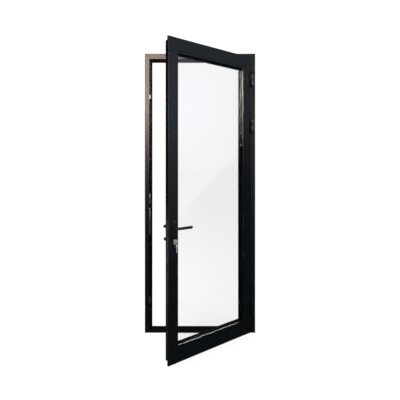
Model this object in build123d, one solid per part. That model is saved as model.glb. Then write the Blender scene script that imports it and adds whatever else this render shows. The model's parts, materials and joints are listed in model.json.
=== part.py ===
from build123d import *
import os

os.makedirs("parts", exist_ok=True)

# An outward-opening aluminium door leaf with double glazing, hung in its frame on three
# surface hinges. Millimetres, +X to the hinge side, +Y into the building, +Z up. The origin
# is the middle of the threshold's underside. The leaf is drawn shut and then swung open.

# Frame
FRAME_WIDTH = 950.0
FRAME_HEIGHT = 2400.0
FRAME_DEPTH = 60.0
JAMB_FACE = 40.0
HEAD_FACE = 46.0
STOP_PROJECTION = 19.0
STOP_DEPTH = 14.0
FRAME_WALL = 2.0
FRAME_EDGE_RADIUS = 1.5
ANCHOR_GROOVE_WIDTH = 20.0
ANCHOR_GROOVE_DEPTH = 2.0
SILL_HEIGHT = 20.0
SILL_UPSTAND = 16.0
SILL_WALL = 2.0
SILL_RIB_COUNT = 6
SILL_RIB_PITCH = 6.0
SILL_RIB_GROOVE = 2.4
SILL_RIB_DEPTH = 0.8
SILL_RIB_SETBACK = 7.0

# Holes for wall and floor fixings
ANCHOR_HOLE_RADIUS = 5.25
ANCHOR_END_DISTANCE = 180.0
ANCHOR_INNER_RISE = 760.0
ANCHOR_INNER_DROP = 800.0
SILL_HOLE_RADIUS = 3.25
SILL_HOLE_SPACING = 560.0

# Leaf
SIDE_REVEAL = 34.0
TOP_REVEAL = 37.0
BOTTOM_GAP = 9.0
LEAF_DEPTH = 57.0
FLANGE_DEPTH = 11.0
SEAL_GAP = 3.0
BODY_INSET = 20.0
LEAF_WALL = 2.2
LEAF_EDGE_RADIUS = 1.5
FLANGE_TIP = 8.0
LOCK_STILE_FACE = 75.0
HINGE_STILE_FACE = 70.0
TOP_RAIL_FACE = 93.0
BOTTOM_RAIL_FACE = 105.0
HARDWARE_GROOVE_WIDTH = 20.0
HARDWARE_GROOVE_DEPTH = 3.0
LIP_DEPTH = 3.0
LIP_OVERHANG = 8.0
END_CAP_THICKNESS = 2.0
OPEN_ANGLE = 42.0

# Glazing
BEAD_HEIGHT = 17.5
BEAD_DEPTH = 22.0
BEAD_WALL = 1.6
BEAD_GAP = 1.5
BEAD_SETBACK = 1.5
BEAD_RADIUS = 2.0
CLIP_RIB_HEIGHT = 3.4
CLIP_RIB_THICKNESS = 2.0
CLIP_RIB_SETBACK = 4.0
CLIP_CLEARANCE = 0.2
GLASS_GASKET = 5.0
PANE_THICKNESS = 4.0
CAVITY = 16.0
GLASS_BITE = 12.0
SPACER_HEIGHT = 7.0
PANE_SEAL_HEIGHT = 4.0
GLASS_GASKET_HEIGHT = 7.0
SETTING_BLOCK_LENGTH = 100.0
SETTING_BLOCK_INSET = 160.0

# Weather seals
SEAL_FOOT_WIDTH = 3.0
SEAL_FOOT_DEPTH = 3.0
SEAL_BULB_WIDTH = 5.0
SEAL_INSET = 4.0
REBATE_SEAL_WIDTH = 13.0
REBATE_SEAL_INSET = 8.0
SEAL_CLEARANCE = 0.3

# Connectors inside the hollow sections
CONNECTOR_LENGTH = 80.0
CONNECTOR_CLEARANCE = 0.2
SILL_BLOCK_LENGTH = 30.0

# Hinges
UPPER_HINGE_DROP = 190.0
MIDDLE_HINGE_DROP = 585.0
LOWER_HINGE_RISE = 203.0
HINGE_LENGTH = 110.0
HINGE_RADIUS = 10.0
HINGE_FACE_OFFSET = 18.0
HINGE_EDGE_OFFSET = 3.0
HINGE_PLATE_THICKNESS = 3.5
HINGE_PLATE_WIDTH = 36.0
HINGE_FRAME_PLATE_WIDTH = 24.0
HINGE_ARM = 7.0
HINGE_ARM_GAP = 2.0
HINGE_PIN_RADIUS = 6.0
HINGE_BUSH_WALL = 1.2
HINGE_WASHER = 1.0
HINGE_DOME_HEIGHT = 6.0
HINGE_DOME_RIM = 1.0
RUNNING_CLEARANCE = 0.05
SCREW_RADIUS = 2.4
SCREW_HEAD_RADIUS = 4.4
SCREW_HEAD_DEPTH = 2.2
SCREW_LENGTH = 14.0
HINGE_SCREW_PITCH = 38.0

# Lock, set out from the spindle and, for its end bolts, from the leaf's ends
SPINDLE_HEIGHT = 988.0
BACKSET = 32.0
LOCK_CENTRES = 92.0
LATCH_RISE = 52.0
DEAD_BOLT_DROP = 33.0
TOP_BOLT_DROP = 336.0
UPPER_BOLT_RISE = 162.0
BOTTOM_BOLT_RISE = 269.0
CASE_DROP = 143.0
CASE_RISE = 97.0
CASE_WIDTH = 42.0
CASE_DEPTH = 15.0
CASE_WALL = 1.3
CASE_CLEARANCE = 0.2
SIDE_CASE_LENGTH = 70.0
FACEPLATE_OVERHANG = 73.0
FACEPLATE_END_RADIUS = 6.0
BOLT_THICKNESS = 11.0
BOLT_HEIGHT = 34.0
SIDE_BOLT_HEIGHT = 24.0
BOLT_BODY = 24.0
BOLT_THROW = 20.0
LATCH_SIZE = 30.0
LATCH_PROJECTION = 12.0
LATCH_BODY = 29.0
LATCH_TRAVEL = 11.5
LATCH_BEVEL = 0.8
LATCH_TAIL_WIDTH = 5.0
LATCH_TAIL_DEPTH = 6.0
LATCH_TAIL_GAP = 0.6
LATCH_TAIL_LIFT = 1.0
SLIDE_CLEARANCE = 0.3
ROD_WIDTH = 8.0
ROD_THICKNESS = 3.0
ROD_OFFSET = 31.0
ROD_ENTRY = 3.0
SPINDLE_SIZE = 8.0
FOLLOWER_RADIUS = 10.0
FOLLOWER_ARM = 16.5
FOLLOWER_ARM_WIDTH = 8.0
FOLLOWER_ARM_THICKNESS = 6.0
FOLLOWER_ARM_ANGLE = 45.0

# Strike plates on the lock jamb
STRIKE_THICKNESS = 7.0
STRIKE_WIDTH = 24.0
STRIKE_RADIUS = 4.0
STRIKE_EDGE_RADIUS = 1.0
MAIN_STRIKE_DROP = 142.0
MAIN_STRIKE_RISE = 85.0
SIDE_STRIKE_LENGTHS = {"top": 50.0, "upper": 87.0, "bottom": 54.0}
POCKET_CLEARANCE = 2.0

# Lever handles and their plates
PLATE_WIDTH = 32.0
PLATE_THICKNESS = 9.0
PLATE_EDGE_RADIUS = 2.0
PLATE_ABOVE_SPINDLE = 62.0
PLATE_BELOW_CYLINDER = 66.0
PLATE_SCREW_RISE = 45.0
LEVER_RADIUS = 10.5
FRONT_LEVER_REACH = 52.0
REAR_LEVER_REACH = 67.0
LEVER_LENGTH = 128.0
LEVER_BEND = 18.0
LEVER_SOCKET = 30.0
LEVER_END_RADIUS = 3.0
LEVER_BUSH_WALL = 2.0
PLATE_END_FLAT = 2.0

# Cylinder, key and thumb turn
CYLINDER_RADIUS = 8.5
CYLINDER_HEIGHT = 33.0
CYLINDER_STEM = 10.0
CYLINDER_PROJECTION = 12.0
PLUG_RADIUS = 6.5
CAM_RADIUS = 10.5
CAM_WIDTH = 9.0
CAM_GAP = 11.0
CAM_BRIDGE = 7.0
COLLAR_WIDTH = 26.0
COLLAR_RISE = 12.5
COLLAR_DROP = 27.0
COLLAR_THICKNESS = 3.0
COLLAR_EDGE_RADIUS = 1.0
COLLAR_END_FLAT = 1.0
KEY_BOW_RADIUS = 12.0
KEY_THICKNESS = 2.4
KEY_HOLE_RADIUS = 3.2
KEY_HOLE_OFFSET = 6.0
KEY_BLADE = 8.0
KEY_SHOULDER = 2.0
SPARE_BLADE_LENGTH = 38.5
KEY_CUTS = 5
KEY_CUT_WIDTH = 3.0
SPARE_BOW_RADIUS = 11.0
RING_RADIUS = 10.5
RING_WIRE = 1.1
HANG_CLEARANCE = 0.1
TURN_STEM_RADIUS = 6.5
TURN_KNOB_RADIUS = 12.0
TURN_KNOB_START = 30.0
TURN_KNOB_END = 56.0
TURN_FLAT = 7.0
TURN_EDGE_RADIUS = 1.5

# Places that follow from the sizes above
HALF_WIDTH = FRAME_WIDTH / 2
FRONT = -FRAME_DEPTH / 2
REAR = FRAME_DEPTH / 2
STOP_FRONT = REAR - STOP_DEPTH
LEAF_LEFT = -HALF_WIDTH + SIDE_REVEAL
LEAF_RIGHT = HALF_WIDTH - SIDE_REVEAL
LEAF_TOP = FRAME_HEIGHT - TOP_REVEAL
LEAF_FACE = FRONT - FLANGE_DEPTH - SEAL_GAP
LEAF_BACK = LEAF_FACE + LEAF_DEPTH
BODY_TOP = LEAF_TOP - BODY_INSET
BODY_BOTTOM = BOTTOM_GAP + BODY_INSET
LEAF_OUTLINE = (LEAF_LEFT, LEAF_RIGHT, BOTTOM_GAP, LEAF_TOP)
REBATE = (
    LEAF_LEFT + LOCK_STILE_FACE,
    LEAF_RIGHT - HINGE_STILE_FACE,
    BOTTOM_GAP + BOTTOM_RAIL_FACE,
    LEAF_TOP - TOP_RAIL_FACE,
)
SIGHT = (
    REBATE[0] + BEAD_HEIGHT,
    REBATE[1] - BEAD_HEIGHT,
    REBATE[2] + BEAD_HEIGHT,
    REBATE[3] - BEAD_HEIGHT,
)
OPENING = (
    -HALF_WIDTH + JAMB_FACE + STOP_PROJECTION,
    HALF_WIDTH - JAMB_FACE - STOP_PROJECTION,
    SILL_HEIGHT + SILL_UPSTAND,
    FRAME_HEIGHT - HEAD_FACE - STOP_PROJECTION,
)
GLASS_FRONT = BEAD_DEPTH + GLASS_GASKET
GLASS_REAR = GLASS_FRONT + 2 * PANE_THICKNESS + CAVITY
LOCK_Y = LEAF_FACE + LEAF_DEPTH / 2
LOCK_EDGE = LEAF_LEFT + BODY_INSET
SPINDLE_X = LOCK_EDGE + BACKSET
CYLINDER_Z = SPINDLE_HEIGHT - LOCK_CENTRES
CASE_FRONT = LOCK_EDGE + HARDWARE_GROOVE_DEPTH
REBATE_X = -HALF_WIDTH + JAMB_FACE
HINGE_X = LEAF_RIGHT + HINGE_EDGE_OFFSET
HINGE_Y = LEAF_FACE - HINGE_FACE_OFFSET
HINGE_HEIGHTS = {
    "upper": LEAF_TOP - UPPER_HINGE_DROP,
    "middle": LEAF_TOP - MIDDLE_HINGE_DROP,
    "lower": BOTTOM_GAP + LOWER_HINGE_RISE,
}
LATCH_HEIGHT = SPINDLE_HEIGHT + LATCH_RISE
DEAD_BOLT_HEIGHT = SPINDLE_HEIGHT - DEAD_BOLT_DROP
SIDE_BOLT_HEIGHTS = {
    "top": LEAF_TOP - TOP_BOLT_DROP,
    "upper": SPINDLE_HEIGHT + UPPER_BOLT_RISE,
    "bottom": BOTTOM_GAP + BOTTOM_BOLT_RISE,
}
MAIN_STRIKE = (SPINDLE_HEIGHT - MAIN_STRIKE_DROP, SPINDLE_HEIGHT + MAIN_STRIKE_RISE)
ANCHOR_OUTER_HEIGHTS = (ANCHOR_END_DISTANCE, FRAME_HEIGHT - ANCHOR_END_DISTANCE)
ANCHOR_INNER_HEIGHTS = (ANCHOR_INNER_RISE, FRAME_HEIGHT - ANCHOR_INNER_DROP)
LEFT, RIGHT = (-1, 0, 0), (1, 0, 0)
FORWARD, BACK = (0, -1, 0), (0, 1, 0)
DOWN, UP = (0, 0, -1), (0, 0, 1)

if LEAF_DEPTH - LIP_DEPTH <= GLASS_REAR:
    raise ValueError("the glazing is deeper than the leaf")
REAR_GASKET = LEAF_DEPTH - LIP_DEPTH - GLASS_REAR
if LATCH_BODY + LATCH_TRAVEL > HARDWARE_GROOVE_DEPTH + CASE_WIDTH - CASE_WALL:
    raise ValueError("the latch has no room to draw back in its case")


def block(x, y, z):
    """A box given by its low and high ends along each axis."""
    size = (x[1] - x[0], y[1] - y[0], z[1] - z[0])
    centre = ((x[0] + x[1]) / 2, (y[0] + y[1]) / 2, (z[0] + z[1]) / 2)
    return Pos(*centre) * Box(*size)


def rect(u, v):
    """A rectangle in a profile's section, given by its ends inwards (u) and backwards (v)."""
    return Pos((u[0] + u[1]) / 2, (v[0] + v[1]) / 2) * Rectangle(u[1] - u[0], v[1] - v[0])


def about(centre, width):
    """The two ends of a width that lies about a centre."""
    return (centre - width / 2, centre + width / 2)


def rod(point, direction, radius, length):
    """A round bar that starts at a point and runs along a direction."""
    bar = Cylinder(radius, length, align=(Align.CENTER, Align.CENTER, Align.MIN))
    return Plane(origin=point, z_dir=direction) * bar


def run(section, start, inwards, length):
    """Extrude a section whose u points inwards and whose v points backwards."""
    along = Vector(*inwards).cross(Vector(*BACK))
    plane = Plane(origin=start, x_dir=inwards, z_dir=along)
    return extrude(plane * section, amount=length)


def ring(outline, outer, inner, y):
    """A four-sided ring between two distances inside an outline, over a depth."""
    left, right, low, high = outline
    whole = block((left + outer, right - outer), y, (low + outer, high - outer))
    hole = block((left + inner, right - inner), y, (low + inner, high - inner))
    return whole - hole


def screw(point, direction, length=SCREW_LENGTH):
    """A countersunk screw with its head's face at the point."""
    head = Cone(
        SCREW_HEAD_RADIUS, SCREW_RADIUS, SCREW_HEAD_DEPTH, align=(Align.CENTER, Align.CENTER, Align.MIN)
    )
    return Plane(origin=point, z_dir=direction) * head + rod(point, direction, SCREW_RADIUS, length)


def group(solids):
    """Separate solids kept as one node."""
    return Compound(children=list(solids))


# Frame extrusions

def frame_box(face):
    """The main chamber of a frame member, with its anchor groove on the wall side."""
    outer = rect((0, face), (0, FRAME_DEPTH))
    outer = fillet(outer.vertices().sort_by(Axis.Y)[0:2], FRAME_EDGE_RADIUS)
    groove = rect((0, ANCHOR_GROOVE_DEPTH), about(FRAME_DEPTH / 2, ANCHOR_GROOVE_WIDTH))
    chamber = rect(
        (ANCHOR_GROOVE_DEPTH + FRAME_WALL, face - FRAME_WALL), (FRAME_WALL, FRAME_DEPTH - FRAME_WALL)
    )
    return outer - groove - chamber


def frame_stop(face):
    """The hollow stop that the leaf shuts against, on the inner side of a frame member."""
    outer = rect((face, face + STOP_PROJECTION), (FRAME_DEPTH - STOP_DEPTH, FRAME_DEPTH))
    chamber = rect(
        (face, face + STOP_PROJECTION - FRAME_WALL),
        (FRAME_DEPTH - STOP_DEPTH + SEAL_FOOT_DEPTH + FRAME_WALL, FRAME_DEPTH - FRAME_WALL),
    )
    return outer - chamber


REBATE_SEAL_OUTER = -REBATE_SEAL_INSET - SEAL_FOOT_WIDTH / 2
REBATE_SEAL_INNER = -REBATE_SEAL_INSET + SEAL_FOOT_WIDTH / 2
REBATE_GROOVE_DEPTH = (STOP_FRONT, STOP_FRONT + SEAL_FOOT_DEPTH)
rebate_groove = ring(OPENING, REBATE_SEAL_OUTER, REBATE_SEAL_INNER, REBATE_GROOVE_DEPTH)


def frame_jamb(side):
    """A full-height jamb; side is -1 for the lock jamb and 1 for the hinge jamb."""
    outer_edge = side * HALF_WIDTH
    inwards = RIGHT if side < 0 else LEFT
    low, high = (0, FRAME_HEIGHT) if side < 0 else (FRAME_HEIGHT, 0)
    stop_low, stop_high = SILL_HEIGHT, FRAME_HEIGHT - HEAD_FACE
    stop_start = stop_low if side < 0 else stop_high
    jamb = run(frame_box(JAMB_FACE), (outer_edge, FRONT, low), inwards, abs(high - low))
    jamb += run(frame_stop(JAMB_FACE), (outer_edge, FRONT, stop_start), inwards, stop_high - stop_low)
    for height in ANCHOR_OUTER_HEIGHTS + ANCHOR_INNER_HEIGHTS:
        jamb -= rod((outer_edge, 0, height), inwards, ANCHOR_HOLE_RADIUS, JAMB_FACE)
    return jamb - rebate_groove


def frame_head():
    """The head, butted between the jambs, with its stop between theirs."""
    inner = HALF_WIDTH - JAMB_FACE
    head = run(frame_box(HEAD_FACE), (-inner, FRONT, FRAME_HEIGHT), DOWN, 2 * inner)
    stop_half = inner - STOP_PROJECTION
    head += run(frame_stop(HEAD_FACE), (-stop_half, FRONT, FRAME_HEIGHT), DOWN, 2 * stop_half)
    return head - rebate_groove


def sill_holes():
    """The two floor fixing holes through the threshold."""
    return [
        rod((x, 0, 0), UP, SILL_HOLE_RADIUS, SILL_HEIGHT)
        for x in (-SILL_HOLE_SPACING / 2, SILL_HOLE_SPACING / 2)
    ]


def threshold():
    """The ribbed threshold between the jambs, with its rear upstand."""
    inner = HALF_WIDTH - JAMB_FACE
    base = block((-inner, inner), (FRONT, REAR), (0, SILL_HEIGHT))
    web = (STOP_FRONT - FRONT) / 2
    for start in (FRONT, FRONT + web):
        chamber_y = (start + SILL_WALL, start + web - SILL_WALL / 2)
        base -= block((-inner, inner), chamber_y, (SILL_WALL, SILL_HEIGHT - SILL_WALL))
    upstand_x = (OPENING[0], OPENING[1])
    base += block(upstand_x, (STOP_FRONT, REAR), (SILL_HEIGHT, SILL_HEIGHT + SILL_UPSTAND))
    hollow_y = (STOP_FRONT + SEAL_FOOT_DEPTH + SILL_WALL, REAR - SILL_WALL)
    base -= block((-inner, inner), hollow_y, (SILL_WALL, SILL_HEIGHT + SILL_UPSTAND - SILL_WALL))
    for index in range(SILL_RIB_COUNT):
        middle = FRONT + SILL_RIB_SETBACK + index * SILL_RIB_PITCH
        groove_z = (SILL_HEIGHT - SILL_RIB_DEPTH, SILL_HEIGHT)
        base -= block((-inner, inner), about(middle, SILL_RIB_GROOVE), groove_z)
    for hole in sill_holes():
        base -= hole
    return base - rebate_groove


def head_connectors():
    """Blocks inside the ends of the head that its jamb screws pull on."""
    inner = HALF_WIDTH - JAMB_FACE
    top = FRAME_HEIGHT - ANCHOR_GROOVE_DEPTH - FRAME_WALL - CONNECTOR_CLEARANCE
    low = FRAME_HEIGHT - HEAD_FACE + FRAME_WALL + CONNECTOR_CLEARANCE
    depth = about(0, FRAME_DEPTH - 2 * FRAME_WALL - 2 * CONNECTOR_CLEARANCE)
    ends = ((-inner, -inner + CONNECTOR_LENGTH), (inner - CONNECTOR_LENGTH, inner))
    return [block(x, depth, (low, top)) for x in ends]


def sill_end_blocks():
    """Blocks that fill the ends of the threshold's front chamber and take its jamb screws."""
    inner = HALF_WIDTH - JAMB_FACE
    web = (STOP_FRONT - FRONT) / 2
    depth = (FRONT + SILL_WALL + CONNECTOR_CLEARANCE, FRONT + web - SILL_WALL / 2 - CONNECTOR_CLEARANCE)
    height = (SILL_WALL + CONNECTOR_CLEARANCE, SILL_HEIGHT - SILL_WALL - CONNECTOR_CLEARANCE)
    ends = ((-inner, -inner + SILL_BLOCK_LENGTH), (inner - SILL_BLOCK_LENGTH, inner))
    return [block(x, depth, height) for x in ends]


def rebate_seal():
    """The hollow seal round the stop, with its foot in the groove."""
    outer = -REBATE_SEAL_INSET - REBATE_SEAL_WIDTH / 2
    inner = -REBATE_SEAL_INSET + REBATE_SEAL_WIDTH / 2
    bulb = ring(OPENING, outer, inner, (STOP_FRONT - SEAL_GAP + SEAL_CLEARANCE, STOP_FRONT))
    return bulb + rebate_groove


# Leaf extrusions

def leaf_tube(face):
    """The flange and main tube of a stile or rail, with its hardware groove."""
    body = rect((BODY_INSET, face), (0, LEAF_DEPTH))
    body += rect((0, BODY_INSET), (0, LEAF_WALL))
    body += rect((0, FLANGE_TIP), (0, FLANGE_DEPTH))
    corner = body.vertices().sort_by(Axis.Y)[0:2].sort_by(Axis.X)[0]
    body = fillet(corner, LEAF_EDGE_RADIUS)
    groove = rect(
        (BODY_INSET, BODY_INSET + HARDWARE_GROOVE_DEPTH), about(LEAF_DEPTH / 2, HARDWARE_GROOVE_WIDTH)
    )
    chamber = rect(
        (BODY_INSET + HARDWARE_GROOVE_DEPTH + LEAF_WALL, face - LEAF_WALL),
        (LEAF_WALL, LEAF_DEPTH - LEAF_WALL),
    )
    return body - groove - chamber


def leaf_lip(face):
    """The fixed lip behind the glass."""
    return rect((face, face + BEAD_HEIGHT + LIP_OVERHANG), (LEAF_DEPTH - LIP_DEPTH, LEAF_DEPTH))


def clip_rib(face):
    """The rib on the glazing rebate that the bead clips over."""
    high = BEAD_DEPTH - CLIP_RIB_SETBACK
    return rect((face, face + CLIP_RIB_HEIGHT), (high - CLIP_RIB_THICKNESS, high))


flange_groove = ring(
    LEAF_OUTLINE,
    SEAL_INSET - SEAL_FOOT_WIDTH / 2,
    SEAL_INSET + SEAL_FOOT_WIDTH / 2,
    (LEAF_FACE + FLANGE_DEPTH - SEAL_FOOT_DEPTH, LEAF_FACE + FLANGE_DEPTH),
)


def leaf_stile(side):
    """A full-height stile; side is -1 for the lock stile and 1 for the hinge stile."""
    edge = LEAF_LEFT if side < 0 else LEAF_RIGHT
    face = LOCK_STILE_FACE if side < 0 else HINGE_STILE_FACE
    inwards = RIGHT if side < 0 else LEFT

    def stretch(section, low, high):
        start = low if side < 0 else high
        return run(section, (edge, LEAF_FACE, start), inwards, high - low)

    stile = stretch(leaf_tube(face), BOTTOM_GAP, LEAF_TOP)
    stile += stretch(leaf_lip(face), REBATE[2], REBATE[3])
    stile += stretch(clip_rib(face), SIGHT[2], SIGHT[3])
    tip, inner = edge - side * FLANGE_TIP, edge - side * face
    across = (min(tip, inner), max(tip, inner))
    behind = (LEAF_FACE + LEAF_WALL, LEAF_BACK)
    stile -= block(across, behind, (BODY_TOP - END_CAP_THICKNESS, LEAF_TOP))
    stile -= block(across, behind, (BOTTOM_GAP, BODY_BOTTOM + END_CAP_THICKNESS))
    return stile - flange_groove


def leaf_rail(face, upper):
    """A rail butted between the stiles, with its lip between theirs."""
    height = LEAF_TOP if upper else BOTTOM_GAP
    inwards = DOWN if upper else UP

    def stretch(section, left, right):
        start = left if upper else right
        return run(section, (start, LEAF_FACE, height), inwards, right - left)

    rail = stretch(leaf_tube(face), REBATE[0], REBATE[1])
    rail += stretch(leaf_lip(face), SIGHT[0] + LIP_OVERHANG, SIGHT[1] - LIP_OVERHANG)
    rail += stretch(clip_rib(face), SIGHT[0], SIGHT[1])
    return rail - flange_groove


def stile_end_pieces():
    """Mouldings that carry the flange round the stiles' ends and close their tubes."""
    pieces = []
    flange_y = (LEAF_FACE + LEAF_WALL, LEAF_FACE + FLANGE_DEPTH)
    cap_y = (LEAF_FACE + LEAF_WALL, LEAF_BACK)
    top = (BODY_TOP, LEAF_TOP), (BODY_TOP - END_CAP_THICKNESS, BODY_TOP)
    bottom = (BOTTOM_GAP, BODY_BOTTOM), (BODY_BOTTOM, BODY_BOTTOM + END_CAP_THICKNESS)
    for flange_z, cap_z in (top, bottom):
        for side in (-1, 1):
            edge, inner = (LEAF_LEFT, REBATE[0]) if side < 0 else (LEAF_RIGHT, REBATE[1])
            across = sorted((edge - side * FLANGE_TIP, inner))
            cap_x = sorted((edge - side * BODY_INSET, inner))
            pieces.append(block(across, flange_y, flange_z) + block(cap_x, cap_y, cap_z) - flange_groove)
    return pieces


def rail_connectors():
    """Blocks inside the rails' ends that the stile screws pull on."""
    near = BODY_INSET + HARDWARE_GROOVE_DEPTH + LEAF_WALL + CONNECTOR_CLEARANCE
    margin = LEAF_WALL + CONNECTOR_CLEARANCE
    depth = (LEAF_FACE + margin, LEAF_BACK - margin)
    left, right, low, high = REBATE
    top = (high + margin, LEAF_TOP - near)
    bottom = (BOTTOM_GAP + near, low - margin)
    ends = ((left, left + CONNECTOR_LENGTH), (right - CONNECTOR_LENGTH, right))
    return [block(x, depth, z) for x in ends for z in (top, bottom)]


def flange_seal():
    """The seal behind the flange, with its foot in the groove."""
    outer = SEAL_INSET - SEAL_BULB_WIDTH / 2
    inner = SEAL_INSET + SEAL_BULB_WIDTH / 2
    depth = (LEAF_FACE + FLANGE_DEPTH, LEAF_FACE + FLANGE_DEPTH + SEAL_GAP - SEAL_CLEARANCE)
    return ring(LEAF_OUTLINE, outer, inner, depth) + flange_groove


# Glazing

def bead_section():
    """A clip-in glazing bead, measured from the face that it clips to."""
    outer = rect((BEAD_GAP, BEAD_HEIGHT), (BEAD_SETBACK, BEAD_DEPTH))
    corner = outer.vertices().sort_by(Axis.Y)[0:2].sort_by(Axis.X)[-1]
    outer = fillet(corner, BEAD_RADIUS)
    inner = rect((0, BEAD_HEIGHT - BEAD_WALL), (BEAD_SETBACK + BEAD_WALL, BEAD_DEPTH - BEAD_WALL))
    hook = rect(
        (BEAD_GAP, CLIP_RIB_HEIGHT),
        (BEAD_DEPTH - CLIP_RIB_SETBACK + CLIP_CLEARANCE, BEAD_DEPTH - BEAD_WALL),
    )
    return outer - inner + hook


def beads():
    """The four beads: the level ones run from stile to stile, the upright ones between them."""
    left, right, low, high = REBATE
    width, height = right - left - 2 * BEAD_GAP, SIGHT[3] - SIGHT[2]
    section = bead_section()
    return {
        "bead_top": run(section, (left + BEAD_GAP, LEAF_FACE, high), DOWN, width),
        "bead_bottom": run(section, (right - BEAD_GAP, LEAF_FACE, low), UP, width),
        "bead_lock_side": run(section, (left, LEAF_FACE, SIGHT[2]), RIGHT, height),
        "bead_hinge_side": run(section, (right, LEAF_FACE, SIGHT[3]), LEFT, height),
    }


def glazing():
    """The sealed unit, its gaskets and the blocks it stands on."""
    front, rear = LEAF_FACE + GLASS_FRONT, LEAF_FACE + GLASS_REAR
    cavity = (front + PANE_THICKNESS, rear - PANE_THICKNESS)
    glass = (SIGHT[0] - GLASS_BITE, SIGHT[1] + GLASS_BITE, SIGHT[2] - GLASS_BITE, SIGHT[3] + GLASS_BITE)
    width, height = (glass[0], glass[1]), (glass[2], glass[3])
    blocks = []
    floor, ceiling = REBATE[2], REBATE[3]
    for x in (glass[0] + SETTING_BLOCK_INSET, glass[1] - SETTING_BLOCK_INSET):
        blocks.append(block(about(x, SETTING_BLOCK_LENGTH), (front, rear), (floor, glass[2])))
        blocks.append(block(about(x, SETTING_BLOCK_LENGTH), (front, rear), (glass[3], ceiling)))
    sides = (REBATE[0], glass[0]), (glass[1], REBATE[1])
    for z in (glass[2] + SETTING_BLOCK_INSET, glass[3] - SETTING_BLOCK_INSET):
        blocks += [block(x, (front, rear), about(z, SETTING_BLOCK_LENGTH)) for x in sides]
    gasket_y = (front - GLASS_GASKET, front)
    return {
        "outer_pane": block(width, (front, cavity[0]), height),
        "inner_pane": block(width, (cavity[1], rear), height),
        "spacer_bar": ring(glass, PANE_SEAL_HEIGHT, PANE_SEAL_HEIGHT + SPACER_HEIGHT, cavity),
        "pane_edge_seal": ring(glass, 0, PANE_SEAL_HEIGHT, cavity),
        "outer_glazing_gasket": ring(SIGHT, -GLASS_GASKET_HEIGHT, 0, gasket_y),
        "inner_glazing_gasket": ring(SIGHT, -GLASS_GASKET_HEIGHT, LIP_OVERHANG, (rear, rear + REAR_GASKET)),
        "setting_blocks": group(blocks),
    }


# Hinges

KNUCKLE = (HINGE_LENGTH - HINGE_WASHER) / 2


def hinge_span(height, upper):
    """The low and high ends of the leaf's upper or the frame's lower knuckle."""
    if upper:
        return (height + HINGE_LENGTH / 2 - KNUCKLE, height + HINGE_LENGTH / 2)
    return (height - HINGE_LENGTH / 2, height - HINGE_LENGTH / 2 + KNUCKLE)


def hinge_screw_points(height, on_leaf):
    """Where a hinge half's screws start, on the face of its plate."""
    if on_leaf:
        x = HINGE_X - HINGE_RADIUS - HINGE_PLATE_WIDTH / 2
        y = LEAF_FACE - HINGE_PLATE_THICKNESS
    else:
        x = HINGE_X + HINGE_ARM_GAP + HINGE_ARM + (HINGE_FRAME_PLATE_WIDTH - HINGE_ARM) / 2
        y = FRONT - HINGE_PLATE_THICKNESS
    return [(x, y, height + step * HINGE_SCREW_PITCH) for step in (-1, 0, 1)]


def hinge_screws(on_leaf):
    """Every screw of the leaf halves or of the frame halves."""
    return [
        screw(point, BACK)
        for height in HINGE_HEIGHTS.values()
        for point in hinge_screw_points(height, on_leaf)
    ]


def hinge_half(height, on_leaf):
    """A screw-on plate with an arm up to its knuckle."""
    low, high = hinge_span(height, on_leaf)
    plate_z = about(height, HINGE_LENGTH)
    if on_leaf:
        surface = LEAF_FACE
        arm_x = (HINGE_X - HINGE_RADIUS, HINGE_X - HINGE_RADIUS + HINGE_ARM)
        plate_x = (arm_x[0] - HINGE_PLATE_WIDTH + HINGE_ARM, arm_x[1])
        bore = HINGE_PIN_RADIUS + RUNNING_CLEARANCE + HINGE_BUSH_WALL
    else:
        surface = FRONT
        arm_x = (HINGE_X + HINGE_ARM_GAP, HINGE_X + HINGE_ARM_GAP + HINGE_ARM)
        plate_x = (arm_x[0], arm_x[0] + HINGE_FRAME_PLATE_WIDTH)
        bore = HINGE_PIN_RADIUS
    plate = block(plate_x, (surface - HINGE_PLATE_THICKNESS, surface), plate_z)
    edges = plate.edges().filter_by(Axis.Y)
    half = fillet(edges, HINGE_PLATE_THICKNESS)
    half += block(arm_x, (HINGE_Y, surface - HINGE_PLATE_THICKNESS / 2), (low, high))
    half += rod((HINGE_X, HINGE_Y, low), UP, HINGE_RADIUS, high - low)
    half -= rod((HINGE_X, HINGE_Y, low), UP, bore, high - low)
    for point in hinge_screw_points(height, on_leaf):
        half -= screw(point, BACK)
    return half


def hinge_dome(height, upper):
    """A dome over the open end of a knuckle."""
    end = height + HINGE_LENGTH / 2 if upper else height - HINGE_LENGTH / 2
    dome = rod((HINGE_X, HINGE_Y, end), UP if upper else DOWN, HINGE_RADIUS, HINGE_DOME_HEIGHT)
    outer_edge = dome.edges().sort_by(Axis.Z)[-1 if upper else 0]
    return fillet(outer_edge, HINGE_DOME_HEIGHT - HINGE_DOME_RIM)


def hinge_pin(height):
    """The domed pin, pressed into the frame knuckle and free in the leaf's bush."""
    low = height - HINGE_LENGTH / 2
    return rod((HINGE_X, HINGE_Y, low), UP, HINGE_PIN_RADIUS, HINGE_LENGTH) + hinge_dome(height, False)


def hinge_bush(height):
    """The flanged bush in the leaf knuckle that also carries the leaf's weight."""
    low, high = hinge_span(height, True)
    foot = (HINGE_X, HINGE_Y, low - HINGE_WASHER)
    inner = HINGE_PIN_RADIUS + RUNNING_CLEARANCE
    tube = rod((HINGE_X, HINGE_Y, low), UP, inner + HINGE_BUSH_WALL, high - low)
    flange = rod(foot, UP, HINGE_RADIUS, HINGE_WASHER)
    return tube + flange - rod(foot, UP, inner, KNUCKLE + HINGE_WASHER)


# Lock

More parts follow.
